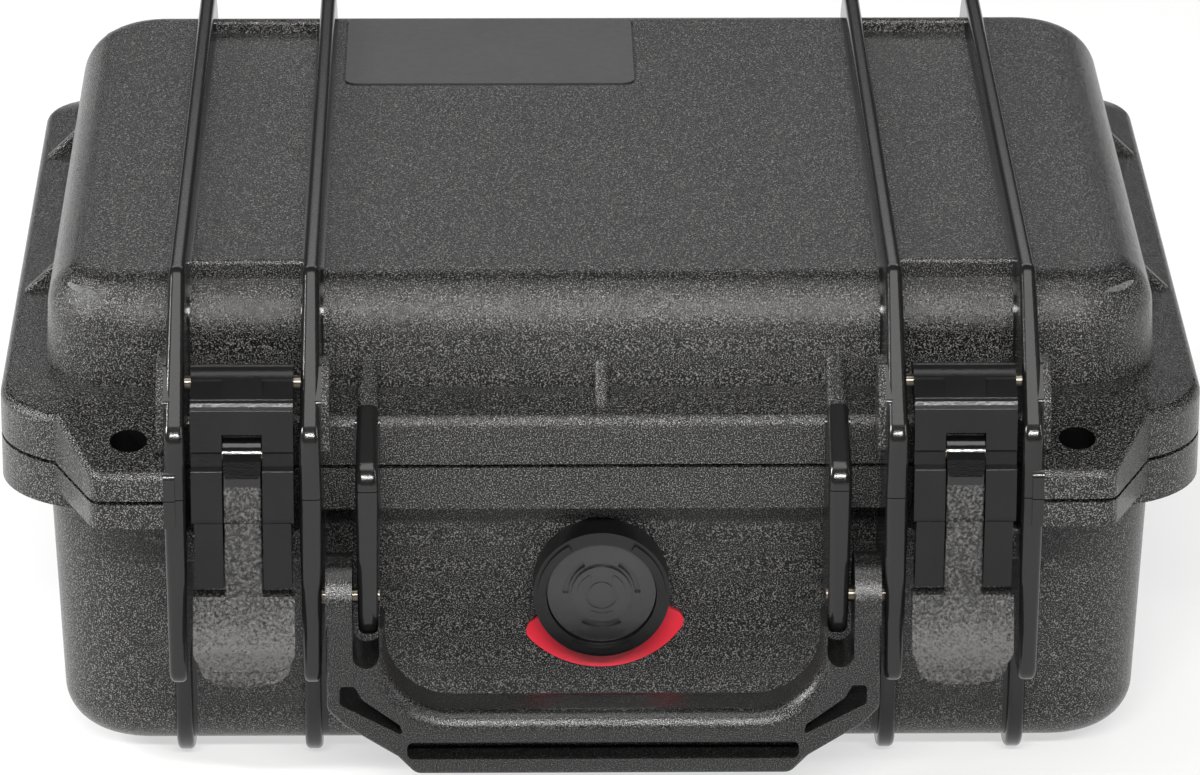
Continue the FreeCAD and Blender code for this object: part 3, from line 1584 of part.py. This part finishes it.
def foams():
    blocks = {
        "base_foam": (foam_block(
            "base_foam_blank", "base_skin_foot + floor_wall + foam_seat", "seam_height", True,
        ), "base_skin_foot + floor_wall + foam_seat", "base_edge_round - wall"),
        "lid_foam": (foam_block(
            "lid_foam_blank", "seam_height", "lid_skin_top - roof_wall - foam_seat", False,
        ), "lid_skin_top - roof_wall - foam_seat", "lid_edge_round - wall"),
    }
    rooms = {
        "base_foam": ("base_skin_foot + floor_wall + foam_seat + base_foam_thick", "seam_height + overrun"),
        "lid_foam": ("seam_height - overrun", "lid_skin_top - roof_wall - foam_seat - lid_foam_thick"),
    }
    for label, (block, level, edge_round) in blocks.items():
        rounded(block, label + "_round", block.Tip, level_edges(block.Tip, level), edge_round)
        outline = rectangle("flange_half_width", FLANGE_FRONT, FLANGE_BACK)
        room = prism(label + "_room", "XY", outline, *rooms[label])
        sub_part(label, without(label, block, [room]))


base_shell()
base_pins()
lid_shell()
for word, side in SIDES.items():
    latch_arm(word, side)
    latch_lever(word, side)
handle()
valve()
foams()

os.makedirs("parts", exist_ok=True)
for thing in SUB_PARTS:
    stop_if_failed(thing)
    thing.Shape.exportStep(f"parts/{thing.Label}.step")
    print(thing.Label, len(thing.Shape.Solids), round(thing.Shape.Volume), thing.Shape.BoundBox)
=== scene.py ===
import bpy
import bmesh
import math
from mathutils import Matrix, Vector


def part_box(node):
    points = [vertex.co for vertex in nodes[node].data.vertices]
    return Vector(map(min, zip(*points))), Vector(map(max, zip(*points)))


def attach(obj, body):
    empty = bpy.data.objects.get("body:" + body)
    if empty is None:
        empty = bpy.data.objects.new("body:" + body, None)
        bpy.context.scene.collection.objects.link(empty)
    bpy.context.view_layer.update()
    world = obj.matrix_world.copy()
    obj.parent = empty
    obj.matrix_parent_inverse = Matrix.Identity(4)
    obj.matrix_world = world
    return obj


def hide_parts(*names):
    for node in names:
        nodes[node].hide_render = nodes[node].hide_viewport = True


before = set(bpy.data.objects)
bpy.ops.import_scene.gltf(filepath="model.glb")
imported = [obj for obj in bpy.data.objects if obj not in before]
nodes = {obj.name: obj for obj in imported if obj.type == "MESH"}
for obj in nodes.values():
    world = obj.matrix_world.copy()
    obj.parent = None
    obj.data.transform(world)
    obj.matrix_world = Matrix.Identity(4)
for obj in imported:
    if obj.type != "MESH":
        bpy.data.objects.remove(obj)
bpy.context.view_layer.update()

mm = 0.001
print("case loaded:", len(nodes), "CAD nodes")


# Place and sensor in mm, turns in degrees, focal length and picture width in pixels, clipping in metres
shotCamera = {
    "place": (-25.1, -1513.5, 665.7),
    "yaw": 0.99,
    "pitch": 21.80,
    "roll": -0.21,
    "focal": 6914.0,
    "pictureWidth": 1200.0,
    "sensor": 36.0,
    "clip": (0.05, 60.0),
}


def setUpCamera(shot):
    yaw, pitch, roll = (math.radians(shot[key]) for key in ("yaw", "pitch", "roll"))
    forward = Vector((math.sin(yaw) * math.cos(pitch), math.cos(yaw) * math.cos(pitch), -math.sin(pitch)))
    level = Vector((math.cos(yaw), -math.sin(yaw), 0))
    down = forward.cross(level)
    right = level * math.cos(roll) + down * math.sin(roll)
    low = -level * math.sin(roll) + down * math.cos(roll)
    data = bpy.data.cameras.new("shotCamera")
    data.sensor_width = shot["sensor"]
    data.lens = shot["focal"] * shot["sensor"] / shot["pictureWidth"]
    data.clip_start, data.clip_end = shot["clip"]
    cam = bpy.data.objects.new("shotCamera", data)
    bpy.context.scene.collection.objects.link(cam)
    turn = Matrix((right, -low, -forward)).transposed()
    cam.matrix_world = Matrix.Translation(Vector(shot["place"]) * mm) @ turn.to_4x4()
    bpy.context.scene.camera = cam


setUpCamera(shotCamera)
print("camera set")


# Floor and world, in metres
studio = {
    "floorSize": 14.0,
    "floorDrop": 0.0006,
    "floorColour": (0.80, 0.80, 0.80),
    "floorWhiteShare": 0.6,  # of plain white in the floor, where it is seen directly or in a reflection
    "ambient": 0.05,
}

# Each softbox: place, aim, width and height in metres, power in watts, colour
softboxes = {
    "topBox": ((0.0, -0.35, 1.30), (0.0, -0.05, 0.08), 1.3, 0.60, 9.0, (1.0, 0.995, 0.985)),
    "frontBox": ((0.0, -1.58, 1.04), (0.0, 0.0, 0.06), 1.1, 0.11, 44.0, (1.0, 0.99, 0.975)),
    "leftBox": ((-1.35, -0.22, 0.80), (-0.1, -0.05, 0.06), 0.16, 0.5, 28.0, (1.0, 1.0, 1.0)),
    "rightBox": ((1.40, -0.45, 0.70), (0.1, -0.05, 0.06), 0.14, 0.9, 6.0, (1.0, 1.0, 1.0)),
    "backBox": ((0.0, 1.5, 0.98), (0.0, 0.0, 0.08), 1.8, 0.5, 4.6, (1.0, 1.0, 1.0)),
}


def setUpFloor(setting):
    half = setting["floorSize"] / 2
    low = -setting["floorDrop"]
    mesh = bpy.data.meshes.new("studioFloor")
    corners = [(-half, -half, low), (half, -half, low), (half, half, low), (-half, half, low)]
    mesh.from_pydata(corners, [], [(0, 1, 2, 3)])
    floor = bpy.data.objects.new("studioFloor", mesh)
    bpy.context.scene.collection.objects.link(floor)
    mat = bpy.data.materials.new("studioFloorPaper")
    mat.use_nodes = True
    tree = mat.node_tree
    tree.nodes.clear()
    output = tree.nodes.new("ShaderNodeOutputMaterial")
    paper = tree.nodes.new("ShaderNodeBsdfDiffuse")
    paper.inputs["Color"].default_value = (*setting["floorColour"], 1)
    white = tree.nodes.new("ShaderNodeEmission")
    white.inputs["Strength"].default_value = 1.0
    blend = tree.nodes.new("ShaderNodeMixShader")
    rays = tree.nodes.new("ShaderNodeLightPath")
    either = tree.nodes.new("ShaderNodeMath")
    either.operation = "MAXIMUM"
    share = tree.nodes.new("ShaderNodeMath")
    share.operation = "MULTIPLY"
    share.inputs[1].default_value = setting["floorWhiteShare"]
    seen = tree.nodes.new("ShaderNodeMath")
    seen.operation = "MAXIMUM"
    tree.links.new(rays.outputs["Is Camera Ray"], either.inputs[0])
    tree.links.new(rays.outputs["Is Transmission Ray"], either.inputs[1])
    tree.links.new(either.outputs[0], seen.inputs[0])
    tree.links.new(rays.outputs["Is Glossy Ray"], seen.inputs[1])
    tree.links.new(seen.outputs[0], share.inputs[0])
    tree.links.new(share.outputs[0], blend.inputs[0])
    tree.links.new(paper.outputs[0], blend.inputs[1])
    tree.links.new(white.outputs[0], blend.inputs[2])
    tree.links.new(blend.outputs[0], output.inputs["Surface"])
    mesh.materials.append(mat)


def setUpWorld(setting):
    world = bpy.data.worlds.new("studioWorld")
    bpy.context.scene.world = world
    world.use_nodes = True
    air = world.node_tree.nodes["Background"]
    air.inputs["Color"].default_value = (1, 1, 1, 1)
    air.inputs["Strength"].default_value = setting["ambient"]


def addSoftbox(name, place, aim, width, height, power, colour):
    data = bpy.data.lights.new(name, "AREA")
    data.shape = "RECTANGLE"
    data.size = width
    data.size_y = height
    data.energy = power
    data.color = colour
    light = bpy.data.objects.new(name, data)
    bpy.context.scene.collection.objects.link(light)
    light.location = place
    light.rotation_euler = (Vector(aim) - Vector(place)).to_track_quat("-Z", "Y").to_euler()


setUpFloor(studio)
setUpWorld(studio)
for name, setting in softboxes.items():
    addSoftbox(name, *setting)
bpy.context.scene.view_settings.view_transform = "Standard"
print("studio lit")


class Recipe:
    def __init__(self, name):
        self.mat = bpy.data.materials.new(name)
        self.mat.use_nodes = True
        self.tree = self.mat.node_tree
        self.tree.nodes.clear()
        self.output = self.add("ShaderNodeOutputMaterial")
        self.skin = self.add("ShaderNodeBsdfPrincipled")
        self.join(self.skin, 0, self.output, "Surface")
        self.place = self.add("ShaderNodeTexCoord")

    def add(self, kind, **settings):
        node = self.tree.nodes.new(kind)
        for key, value in settings.items():
            setattr(node, key, value)
        return node

    def join(self, source, outlet, target, inlet):
        self.tree.links.new(source.outputs[outlet], target.inputs[inlet])

    def noise(self, scale, detail=3.0, rough=0.5, stretch=None):
        tex = self.add("ShaderNodeTexNoise")
        tex.inputs["Scale"].default_value = scale
        tex.inputs["Detail"].default_value = detail
        tex.inputs["Roughness"].default_value = rough
        if stretch:
            grid = self.add("ShaderNodeMapping")
            grid.inputs["Scale"].default_value = stretch
            self.join(self.place, "Object", grid, "Vector")
            self.join(grid, 0, tex, "Vector")
        else:
            self.join(self.place, "Object", tex, "Vector")
        return tex

    def cells(self, scale):
        tex = self.add("ShaderNodeTexVoronoi")
        tex.inputs["Scale"].default_value = scale
        self.join(self.place, "Object", tex, "Vector")
        return tex

    def ramp(self, source, outlet, stops):
        node = self.add("ShaderNodeValToRGB")
        band = node.color_ramp
        while len(band.elements) < len(stops):
            band.elements.new(0.5)
        for element, (at, colour) in zip(band.elements, stops):
            element.position = at
            element.color = (*colour, 1)
        self.join(source, outlet, node, 0)
        return node

    def math(self, kind, *inputs):
        node = self.add("ShaderNodeMath", operation=kind)
        for index, value in enumerate(inputs):
            if isinstance(value, tuple):
                self.join(value[0], value[1], node, index)
            else:
                node.inputs[index].default_value = value
        return node

    def bump(self, source, outlet, strength, distance):
        node = self.add("ShaderNodeBump")
        node.inputs["Strength"].default_value = strength
        node.inputs["Distance"].default_value = distance
        self.join(source, outlet, node, "Height")
        return node

    def set(self, **values):
        sockets = {"roughness": "Roughness", "metal": "Metallic", "specular": "Specular IOR Level",
                   "coat": "Coat Weight", "coatRough": "Coat Roughness",
                   "sheen": "Sheen Weight", "sheenRough": "Sheen Roughness"}
        for key, value in values.items():
            self.skin.inputs[sockets[key]].default_value = value


# Pebbled moulding: grainy walls, a slightly coarser and weaker grain on the level top, nearly smooth ribs.
# The grain's colour follows its bumps: the valleys are darkened as painted shade and the peaks lightened
# as painted highlight
shellLook = {
    "valley": (0.0020, 0.0020, 0.0021),
    "slope": (0.0090, 0.0089, 0.0088),
    "peak": (0.1500, 0.1475, 0.1435),
    "stops": (0.42, 0.53, 0.68),
    # scale of each grain, its detail and its roughness
    "wallGrain": 3300.0,
    "wallDetail": (1.5, 0.55),
    "topGrain": 2900.0,
    "topDetail": (1.5, 0.6),
    "grainDepth": 0.00019,
    "topShare": 0.90,
    "ribShare": 0.12,
    "levelFrom": (0.80, 0.99),  # upward part of the normal where the level top begins and is full
    "patchShare": 0.10,  # scale of the gloss patches, as a share of the walls' grain
    "patchDetail": 2.0,
    "roughness": (0.17, 0.24),
    "ribRoughness": 0.18,
    "specular": 0.40,
    # middle and half width of each upright band where the moulding is smoother, in mm
    "ribBands": ((93.9, 2.5), (64.3, 2.5)),
    "earBand": (52.0, 2.8, 102.5, -96.0),  # and for the handle's ears, their top in z and back in y
    # the padlock holes get painted shade inside, at the darkest tone and without grain: distance from the
    # middle, place in y, radius, in mm
    "bore": (104.35, -106.0, 4.12),
}


def bandMask(r, across, middle, half):
    off = r.math("SUBTRACT", (across, 0), middle * mm)
    away = r.math("ABSOLUTE", (off, 0))
    return r.math("LESS_THAN", (away, 0), half * mm)


def ribMask(r, look):
    spot = r.add("ShaderNodeSeparateXYZ")
    r.join(r.place, "Object", spot, 0)
    across = r.math("ABSOLUTE", (spot, "X"))
    mask = None
    for middle, half in look["ribBands"]:
        inside = bandMask(r, across, middle, half)
        mask = inside if mask is None else r.math("MAXIMUM", (mask, 0), (inside, 0))
    middle, half, top, back = look["earBand"]
    ear = bandMask(r, across, middle, half)
    ear = r.math("MULTIPLY", (ear, 0), (r.math("LESS_THAN", (spot, "Z"), top * mm), 0))
    ear = r.math("MULTIPLY", (ear, 0), (r.math("LESS_THAN", (spot, "Y"), back * mm), 0))
    return r.math("MAXIMUM", (mask, 0), (ear, 0))


def boreMask(r, look):
    spot = r.add("ShaderNodeSeparateXYZ")
    r.join(r.place, "Object", spot, 0)
    away, along, radius = (value * mm for value in look["bore"])
    across = r.math("SUBTRACT", (r.math("ABSOLUTE", (spot, "X")), 0), away)
    deep = r.math("SUBTRACT", (spot, "Y"), along)
    reach = r.math("ADD", (r.math("POWER", (across, 0), 2.0), 0), (r.math("POWER", (deep, 0), 2.0), 0))
    return r.math("LESS_THAN", (reach, 0), radius ** 2)


def pebbledPlastic(name, look, withRibs):
    r = Recipe(name)
    facing = r.add("ShaderNodeSeparateXYZ")
    r.join(r.add("ShaderNodeNewGeometry"), "Normal", facing, 0)
    level = r.add("ShaderNodeMapRange")
    level.inputs["From Min"].default_value, level.inputs["From Max"].default_value = look["levelFrom"]
    r.join(facing, "Z", level, "Value")
    wall = r.noise(look["wallGrain"], *look["wallDetail"])
    top = r.noise(look["topGrain"], *look["topDetail"])
    gap = r.math("SUBTRACT", (top, "Fac"), (wall, "Fac"))
    pebbles = r.math("MULTIPLY_ADD", (gap, 0), (level, 0), (wall, "Fac"))
    share = r.math("MULTIPLY_ADD", (level, 0), look["topShare"] - 1.0, 1.0)
    patch = r.noise(look["wallGrain"] * look["patchShare"], look["patchDetail"])
    low, high = look["roughness"]
    rough = r.math("MULTIPLY_ADD", (patch, "Fac"), high - low, low)
    if withRibs:
        mask = ribMask(r, look)
        ribShare = r.math("MULTIPLY_ADD", (mask, 0), look["ribShare"] - 1.0, 1.0)
        share = r.math("MINIMUM", (share, 0), (ribShare, 0))
        change = r.math("SUBTRACT", look["ribRoughness"], (rough, 0))
        rough = r.math("MULTIPLY_ADD", (change, 0), (mask, 0), (rough, 0))
        # Painted shade inside the padlock holes: the grain is taken off and the tone pushed to its darkest
        bore = boreMask(r, look)
        share = r.math("MULTIPLY", (share, 0), (r.math("SUBTRACT", 1.0, (bore, 0)), 0))
    off = r.math("SUBTRACT", (pebbles, 0), 0.5)
    calm = r.math("MULTIPLY_ADD", (off, 0), (share, 0), 0.5)
    if withRibs:
        calm = r.math("SUBTRACT", (calm, 0), (bore, 0))
    # The tone follows the bump height: painted shade in the valleys, painted highlight on the peaks, and
    # painted shade at the darkest tone inside the padlock holes
    tone = r.ramp(calm, 0, tuple(zip(look["stops"], (look["valley"], look["slope"], look["peak"]))))
    r.join(tone, 0, r.skin, "Base Color")
    r.join(rough, 0, r.skin, "Roughness")
    grain = r.bump(pebbles, 0, 1.0, look["grainDepth"])
    r.join(share, 0, grain, "Strength")
    r.join(grain, 0, r.skin, "Normal")
    r.set(specular=look["specular"])
    return r.mat


# The handle's grain is finer, shallower and less bright, on a slightly duller skin
handleLook = dict(shellLook, slope=(0.0085, 0.0084, 0.0083), peak=(0.0600, 0.0590, 0.0575),
                  wallGrain=3900.0, grainDepth=0.00009, topShare=0.8, roughness=(0.20, 0.27))


# Latches and valve are smooth: tone and gloss vary softly, and a shallow wave breaks up the reflections
satinWear = {"toneScale": 60.0, "toneStops": (0.35, 0.7), "toneGain": 1.35, "smearScale": 420.0,
             "smear": 0.10, "waveStrength": 0.6}
latchLook = {"colour": (0.0055, 0.0055, 0.0057), "roughness": 0.22, "specular": 0.22, "waveScale": 1500.0,
             "waveDepth": 0.00007}
valveLook = {"colour": (0.006, 0.006, 0.0062), "roughness": 0.30, "specular": 0.30, "waveScale": 300.0,
             "waveDepth": 0.00004}
capLook = {"colour": (0.016, 0.016, 0.0164), "roughness": 0.20, "specular": 0.50, "waveScale": 900.0,
           "waveDepth": 0.00004}


def satinPlastic(name, look, wear):
    r = Recipe(name)
    broad = r.noise(wear["toneScale"], 2.0)
    base = look["colour"]
    worn = tuple(c * wear["toneGain"] for c in base)
    tone = r.ramp(broad, "Fac", tuple(zip(wear["toneStops"], (base, worn))))
    r.join(tone, 0, r.skin, "Base Color")
    smear = r.noise(wear["smearScale"], 3.0)
    rough = r.math("MULTIPLY_ADD", (smear, "Fac"), wear["smear"], look["roughness"] - wear["smear"] / 2)
    r.join(rough, 0, r.skin, "Roughness")
    wave = r.noise(look["waveScale"], 2.0)
    grain = r.bump(wave, "Fac", wear["waveStrength"], look["waveDepth"])
    r.join(grain, 0, r.skin, "Normal")
    r.set(specular=look["specular"])
    return r.mat


# The levers have a sharp sparkling grain below the stem's head, and a painted highlight: a lighter band
# across the pull tab
leverLook = {
    "dark": (0.003, 0.003, 0.003),
    "light": (0.070, 0.0685, 0.0655),
    "stops": (0.45, 0.66),
    "sparkScale": 3300.0,
    "sparkDepth": 0.00022,
    "clump": (0.45, 4.0, 0.65),  # scale as a share of the sparks' scale, detail, roughness
    "clumpGain": 1.4,
    "roughness": 0.12,
    "smoothAbove": 84.6,  # z in mm
    "smoothShare": 0.04,
    # Painted highlight across the pull tab: the grain's tone is lifted in this band
    "paintedHighlightBand": (46.5, 10.0, 0.15),  # middle and half height in z, in mm, and what is added to the noise
}


def sparkPlastic(name, look):
    r = Recipe(name)
    spots = r.cells(look["sparkScale"])
    size, detail, fine = look["clump"]
    clumps = r.noise(look["sparkScale"] * size, detail, fine)
    height = r.math("MULTIPLY_ADD", (clumps, "Fac"), look["clumpGain"], (spots, "Distance"))
    spot = r.add("ShaderNodeSeparateXYZ")
    r.join(r.place, "Object", spot, 0)
    grainy = r.math("LESS_THAN", (spot, "Z"), look["smoothAbove"] * mm)
    share = r.math("MULTIPLY_ADD", (grainy, 0), 1 - look["smoothShare"], look["smoothShare"])
    # Painted highlight: the tone is lifted most at the band's middle height and fades out towards its
    # edges
    middle, half, gain = look["paintedHighlightBand"]
    away = r.math("ABSOLUTE", (r.math("SUBTRACT", (spot, "Z"), middle * mm), 0))
    tabHighlight = r.add("ShaderNodeMapRange")
    for socket, value in (("From Min", 0.0), ("From Max", half * mm), ("To Min", gain), ("To Max", 0.0)):
        tabHighlight.inputs[socket].default_value = value
    r.join(away, 0, tabHighlight, "Value")
    highlightedClumps = r.math("ADD", (clumps, "Fac"), (tabHighlight, 0))
    kept = r.math("MULTIPLY", (highlightedClumps, 0), (share, 0))
    tone = r.ramp(kept, 0, tuple(zip(look["stops"], (look["dark"], look["light"]))))
    r.join(tone, 0, r.skin, "Base Color")
    grain = r.bump(height, 0, 1.0, look["sparkDepth"])
    r.join(share, 0, grain, "Strength")
    r.join(grain, 0, r.skin, "Normal")
    r.set(roughness=look["roughness"])
    return r.mat


# Fine lines run along the pins, which lie in x, so the noise is stretched that way
# The steel is coloured far darker than bare steel: painted shade, as the pins sit in shade between the
# arms and the ribs
steelLook = {"dark": (0.10, 0.088, 0.072), "light": (0.17, 0.150, 0.125), "stops": (0.3, 0.7),
             "lineScale": 900.0, "stretch": (0.05, 1.0, 1.0), "roughness": (0.20, 0.16)}


def turnedSteel(name, look):
    r = Recipe(name)
    r.set(metal=1.0)
    lines = r.noise(look["lineScale"], 2.0, 0.5, look["stretch"])
    tone = r.ramp(lines, "Fac", tuple(zip(look["stops"], (look["dark"], look["light"]))))
    r.join(tone, 0, r.skin, "Base Color")
    least, spread = look["roughness"]
    rough = r.math("MULTIPLY_ADD", (lines, "Fac"), spread, least)
    r.join(rough, 0, r.skin, "Roughness")
    return r.mat


rubberLook = {"dark": (0.018, 0.018, 0.018), "light": (0.030, 0.030, 0.030), "stops": (0.3, 0.75),
              "dustScale": 160.0, "roughness": 0.72, "sheen": (0.15, 0.5), "grain": (2200.0, 0.5, 0.00006)}


def softRubber(name, look):
    r = Recipe(name)
    dust = r.noise(look["dustScale"], 4.0)
    tone = r.ramp(dust, "Fac", tuple(zip(look["stops"], (look["dark"], look["light"]))))
    r.join(tone, 0, r.skin, "Base Color")
    r.set(roughness=look["roughness"], sheen=look["sheen"][0], sheenRough=look["sheen"][1])
    scale, strength, depth = look["grain"]
    grain = r.bump(r.noise(scale, 2.0), "Fac", strength, depth)
    r.join(grain, 0, r.skin, "Normal")
    return r.mat


membraneLook = {"dark": (0.62, 0.62, 0.60), "light": (0.76, 0.76, 0.74), "stops": (0.3, 0.7),
                "fibreScale": 3000.0, "roughness": 0.85, "fibreStrength": 0.5, "fibreDepth": 0.00005}


def ventMembrane(name, look):
    r = Recipe(name)
    fibre = r.noise(look["fibreScale"], 4.0)
    tone = r.ramp(fibre, "Fac", tuple(zip(look["stops"], (look["dark"], look["light"]))))
    r.join(tone, 0, r.skin, "Base Color")
    r.set(roughness=look["roughness"])
    grain = r.bump(fibre, "Fac", look["fibreStrength"], look["fibreDepth"])
    r.join(grain, 0, r.skin, "Normal")
    return r.mat


badgeLook = {"deep": (0.46, 0.012, 0.027), "red": (0.56, 0.016, 0.034), "stops": (0.3, 0.65),
             "toneScale": 120.0, "roughness": 0.36, "coat": (0.25, 0.25), "grain": (700.0, 0.35, 0.00004)}


def redBadge(name, look):
    r = Recipe(name)
    broad = r.noise(look["toneScale"], 2.0)
    tone = r.ramp(broad, "Fac", tuple(zip(look["stops"], (look["deep"], look["red"]))))
    r.join(tone, 0, r.skin, "Base Color")
    r.set(roughness=look["roughness"], coat=look["coat"][0], coatRough=look["coat"][1])
    scale, strength, depth = look["grain"]
    grain = r.bump(r.noise(scale, 2.0), "Fac", strength, depth)
    r.join(grain, 0, r.skin, "Normal")
    return r.mat


plateLook = {"field": (0.022, 0.021, 0.022), "fieldGain": 1.3, "stops": (0.3, 0.7), "toneScale": 45.0,
             "roughness": 0.38, "smearScale": 500.0, "smear": 0.12, "grain": (1500.0, 0.4, 0.00004)}


def namelessPlate(name, look):
    r = Recipe(name)
    broad = r.noise(look["toneScale"], 3.0)
    field = look["field"]
    worn = tuple(c * look["fieldGain"] for c in field)
    tone = r.ramp(broad, "Fac", tuple(zip(look["stops"], (field, worn))))
    r.join(tone, 0, r.skin, "Base Color")
    smear = r.noise(look["smearScale"], 3.0)
    rough = r.math("MULTIPLY_ADD", (smear, "Fac"), look["smear"], look["roughness"] - look["smear"] / 2)
    r.join(rough, 0, r.skin, "Roughness")
    scale, strength, depth = look["grain"]
    grain = r.bump(r.noise(scale, 2.0), "Fac", strength, depth)
    r.join(grain, 0, r.skin, "Normal")
    return r.mat


foamLook = {"dark": (0.020, 0.020, 0.021), "light": (0.060, 0.060, 0.062), "stops": (0.25, 0.9),
            "poreScale": 900.0, "clumpScale": 300.0, "clumpGain": 0.6, "roughness": 0.92,
            "sheen": (0.25, 0.6), "poreStrength": 0.9, "poreDepth": 0.0006}


def openCellFoam(name, look):
    r = Recipe(name)
    pores = r.cells(look["poreScale"])
    clumps = r.noise(look["clumpScale"], 4.0)
    height = r.math("MULTIPLY_ADD", (clumps, "Fac"), look["clumpGain"], (pores, "Distance"))
    tone = r.ramp(height, 0, tuple(zip(look["stops"], (look["dark"], look["light"]))))
    r.join(tone, 0, r.skin, "Base Color")
    r.set(roughness=look["roughness"], sheen=look["sheen"][0], sheenRough=look["sheen"][1])
    grain = r.bump(height, 0, look["poreStrength"], look["poreDepth"])
    r.join(grain, 0, r.skin, "Normal")
    return r.mat


shellPlastic = pebbledPlastic("shellPebbledPlastic", shellLook, True)
handlePlastic = pebbledPlastic("handlePebbledPlastic", handleLook, False)
latchPlastic = satinPlastic("latchSatinPlastic", latchLook, satinWear)
leverPlastic = sparkPlastic("leverSparkPlastic", leverLook)
valvePlastic = satinPlastic("valveSatinPlastic", valveLook, satinWear)
capPlastic = satinPlastic("capSatinPlastic", capLook, satinWear)
pinSteel = turnedSteel("pinTurnedSteel", steelLook)
sealRubber = softRubber("sealSoftRubber", rubberLook)
membraneCloth = ventMembrane("ventMembraneCloth", membraneLook)
badgeRed = redBadge("badgeRedEnamel", badgeLook)
plateBlack = namelessPlate("plateBareBlack", plateLook)
foamGrey = openCellFoam("foamOpenCell", foamLook)

finishes = {
    "base_shell": shellPlastic, "lid_shell": shellPlastic, "handle": handlePlastic,
    "base_padlock_tab_left": shellPlastic, "base_padlock_tab_right": shellPlastic,
    "lid_padlock_tab_left": shellPlastic, "lid_padlock_tab_right": shellPlastic,
    "latch_left_arm": latchPlastic, "latch_right_arm": latchPlastic,
    "latch_left_lever": leverPlastic, "latch_right_lever": leverPlastic,
    "hinge_pin_left": pinSteel, "hinge_pin_right": pinSteel,
    "handle_pin_left": pinSteel, "handle_pin_right": pinSteel,
    "latch_left_arm_pin": pinSteel, "latch_right_arm_pin": pinSteel,
    "latch_left_lever_pin": pinSteel, "latch_right_lever_pin": pinSteel,
    "valve_body": valvePlastic, "valve_cap": capPlastic, "valve_nut": valvePlastic,
    "valve_seal": sealRubber, "lid_seal": sealRubber, "valve_membrane": membraneCloth,
    "valve_badge": badgeRed, "lid_nameplate": plateBlack,
}
for node, finish in finishes.items():
    mesh = nodes[node].data
    mesh.materials.clear()
    mesh.materials.append(finish)
print("finishes on:", len(finishes), "nodes")


# Mesh step, corner radius and rounded edge in mm, and in the lid the wave, the solid skin and the lift
baseFoamShape = {"step": 3.0, "corner": 12.0, "edge": 1.6, "fill": 0.9}
lidFoamShape = {"step": 2.0, "corner": 12.0, "edge": 1.6, "fill": 0.8,
                "wave": 24.0, "skin": 7.0, "lift": 0.3}


def foamBlock(name, node, shape, lowHeight, highHeight, body):
    low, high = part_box(node)
    corner, step, edge = (shape[key] * mm for key in ("corner", "step", "edge"))
    countX = round((high.x - low.x) / step)
    countY = round((high.y - low.y) / step)
    middle = (low + high) / 2
    halfX, halfY = (high.x - low.x) / 2, (high.y - low.y) / 2

    # A square grid pulled in at its corners to the block's rounded outline
    def spot(i, j):
        u, v = 2 * i / countX - 1, 2 * j / countY - 1
        x, y = u * halfX, v * halfY
        overX, overY = abs(x) - (halfX - corner), abs(y) - (halfY - corner)
        if overX > 0 and overY > 0:
            reach = max(overX, overY)
            length = math.hypot(overX, overY)
            x = math.copysign(halfX - corner + overX * reach / length, x)
            y = math.copysign(halfY - corner + overY * reach / length, y)
        return x, y

    bm = bmesh.new()
    rows = {}
    for side, height in (("low", lowHeight), ("high", highHeight)):
        for i in range(countX + 1):
            for j in range(countY + 1):
                x, y = spot(i, j)
                rim = min(halfX - abs(x), halfY - abs(y))
                sink = edge * max(0.0, 1 - rim / edge) ** 2
                z = height(x, y)
                z = z + sink if side == "low" else z - sink
                rows[side, i, j] = bm.verts.new((middle.x + x, middle.y + y, z))

    def quad(*corners):
        bm.faces.new([rows[corner] for corner in corners])

    for i in range(countX):
        for j in range(countY):
            quad(("high", i, j), ("high", i + 1, j), ("high", i + 1, j + 1), ("high", i, j + 1))
            quad(("low", i, j), ("low", i, j + 1), ("low", i + 1, j + 1), ("low", i + 1, j))
    for i in range(countX):
        quad(("low", i, 0), ("low", i + 1, 0), ("high", i + 1, 0), ("high", i, 0))
        quad(("low", i + 1, countY), ("low", i, countY), ("high", i, countY), ("high", i + 1, countY))
    for j in range(countY):
        quad(("low", 0, j + 1), ("low", 0, j), ("high", 0, j), ("high", 0, j + 1))
        quad(("low", countX, j), ("low", countX, j + 1), ("high", countX, j + 1), ("high", countX, j))
    bmesh.ops.recalc_face_normals(bm, faces=bm.faces)
    mesh = bpy.data.meshes.new(name)
    bm.to_mesh(mesh)
    bm.free()
    for face in mesh.polygons:
        face.use_smooth = True
    piece = bpy.data.objects.new(name, mesh)
    bpy.context.scene.collection.objects.link(piece)
    mesh.materials.append(foamGrey)
    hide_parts(node)
    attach(piece, body)


baseLow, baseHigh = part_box("base_foam")
lidLow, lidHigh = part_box("lid_foam")


def flatAt(height):
    return lambda x, y: height


# The lid's foam hangs in bumps, like an egg box
def convoluted(x, y):
    wave, skin, lift = (lidFoamShape[key] * mm for key in ("wave", "skin", "lift"))
    turn = 2 * math.pi / wave
    swing = 0.5 + 0.5 * math.sin(turn * x) * math.sin(turn * y)
    return lidLow.z + (lidHigh.z - lidLow.z - skin) * (1 - swing) + lift


foamBlock("baseFoamPad", "base_foam", baseFoamShape, flatAt(baseLow.z), flatAt(baseHigh.z), "base")
foamBlock("lidFoamConvoluted", "lid_foam", lidFoamShape, convoluted, flatAt(lidHigh.z), "lid")
print("foam made")
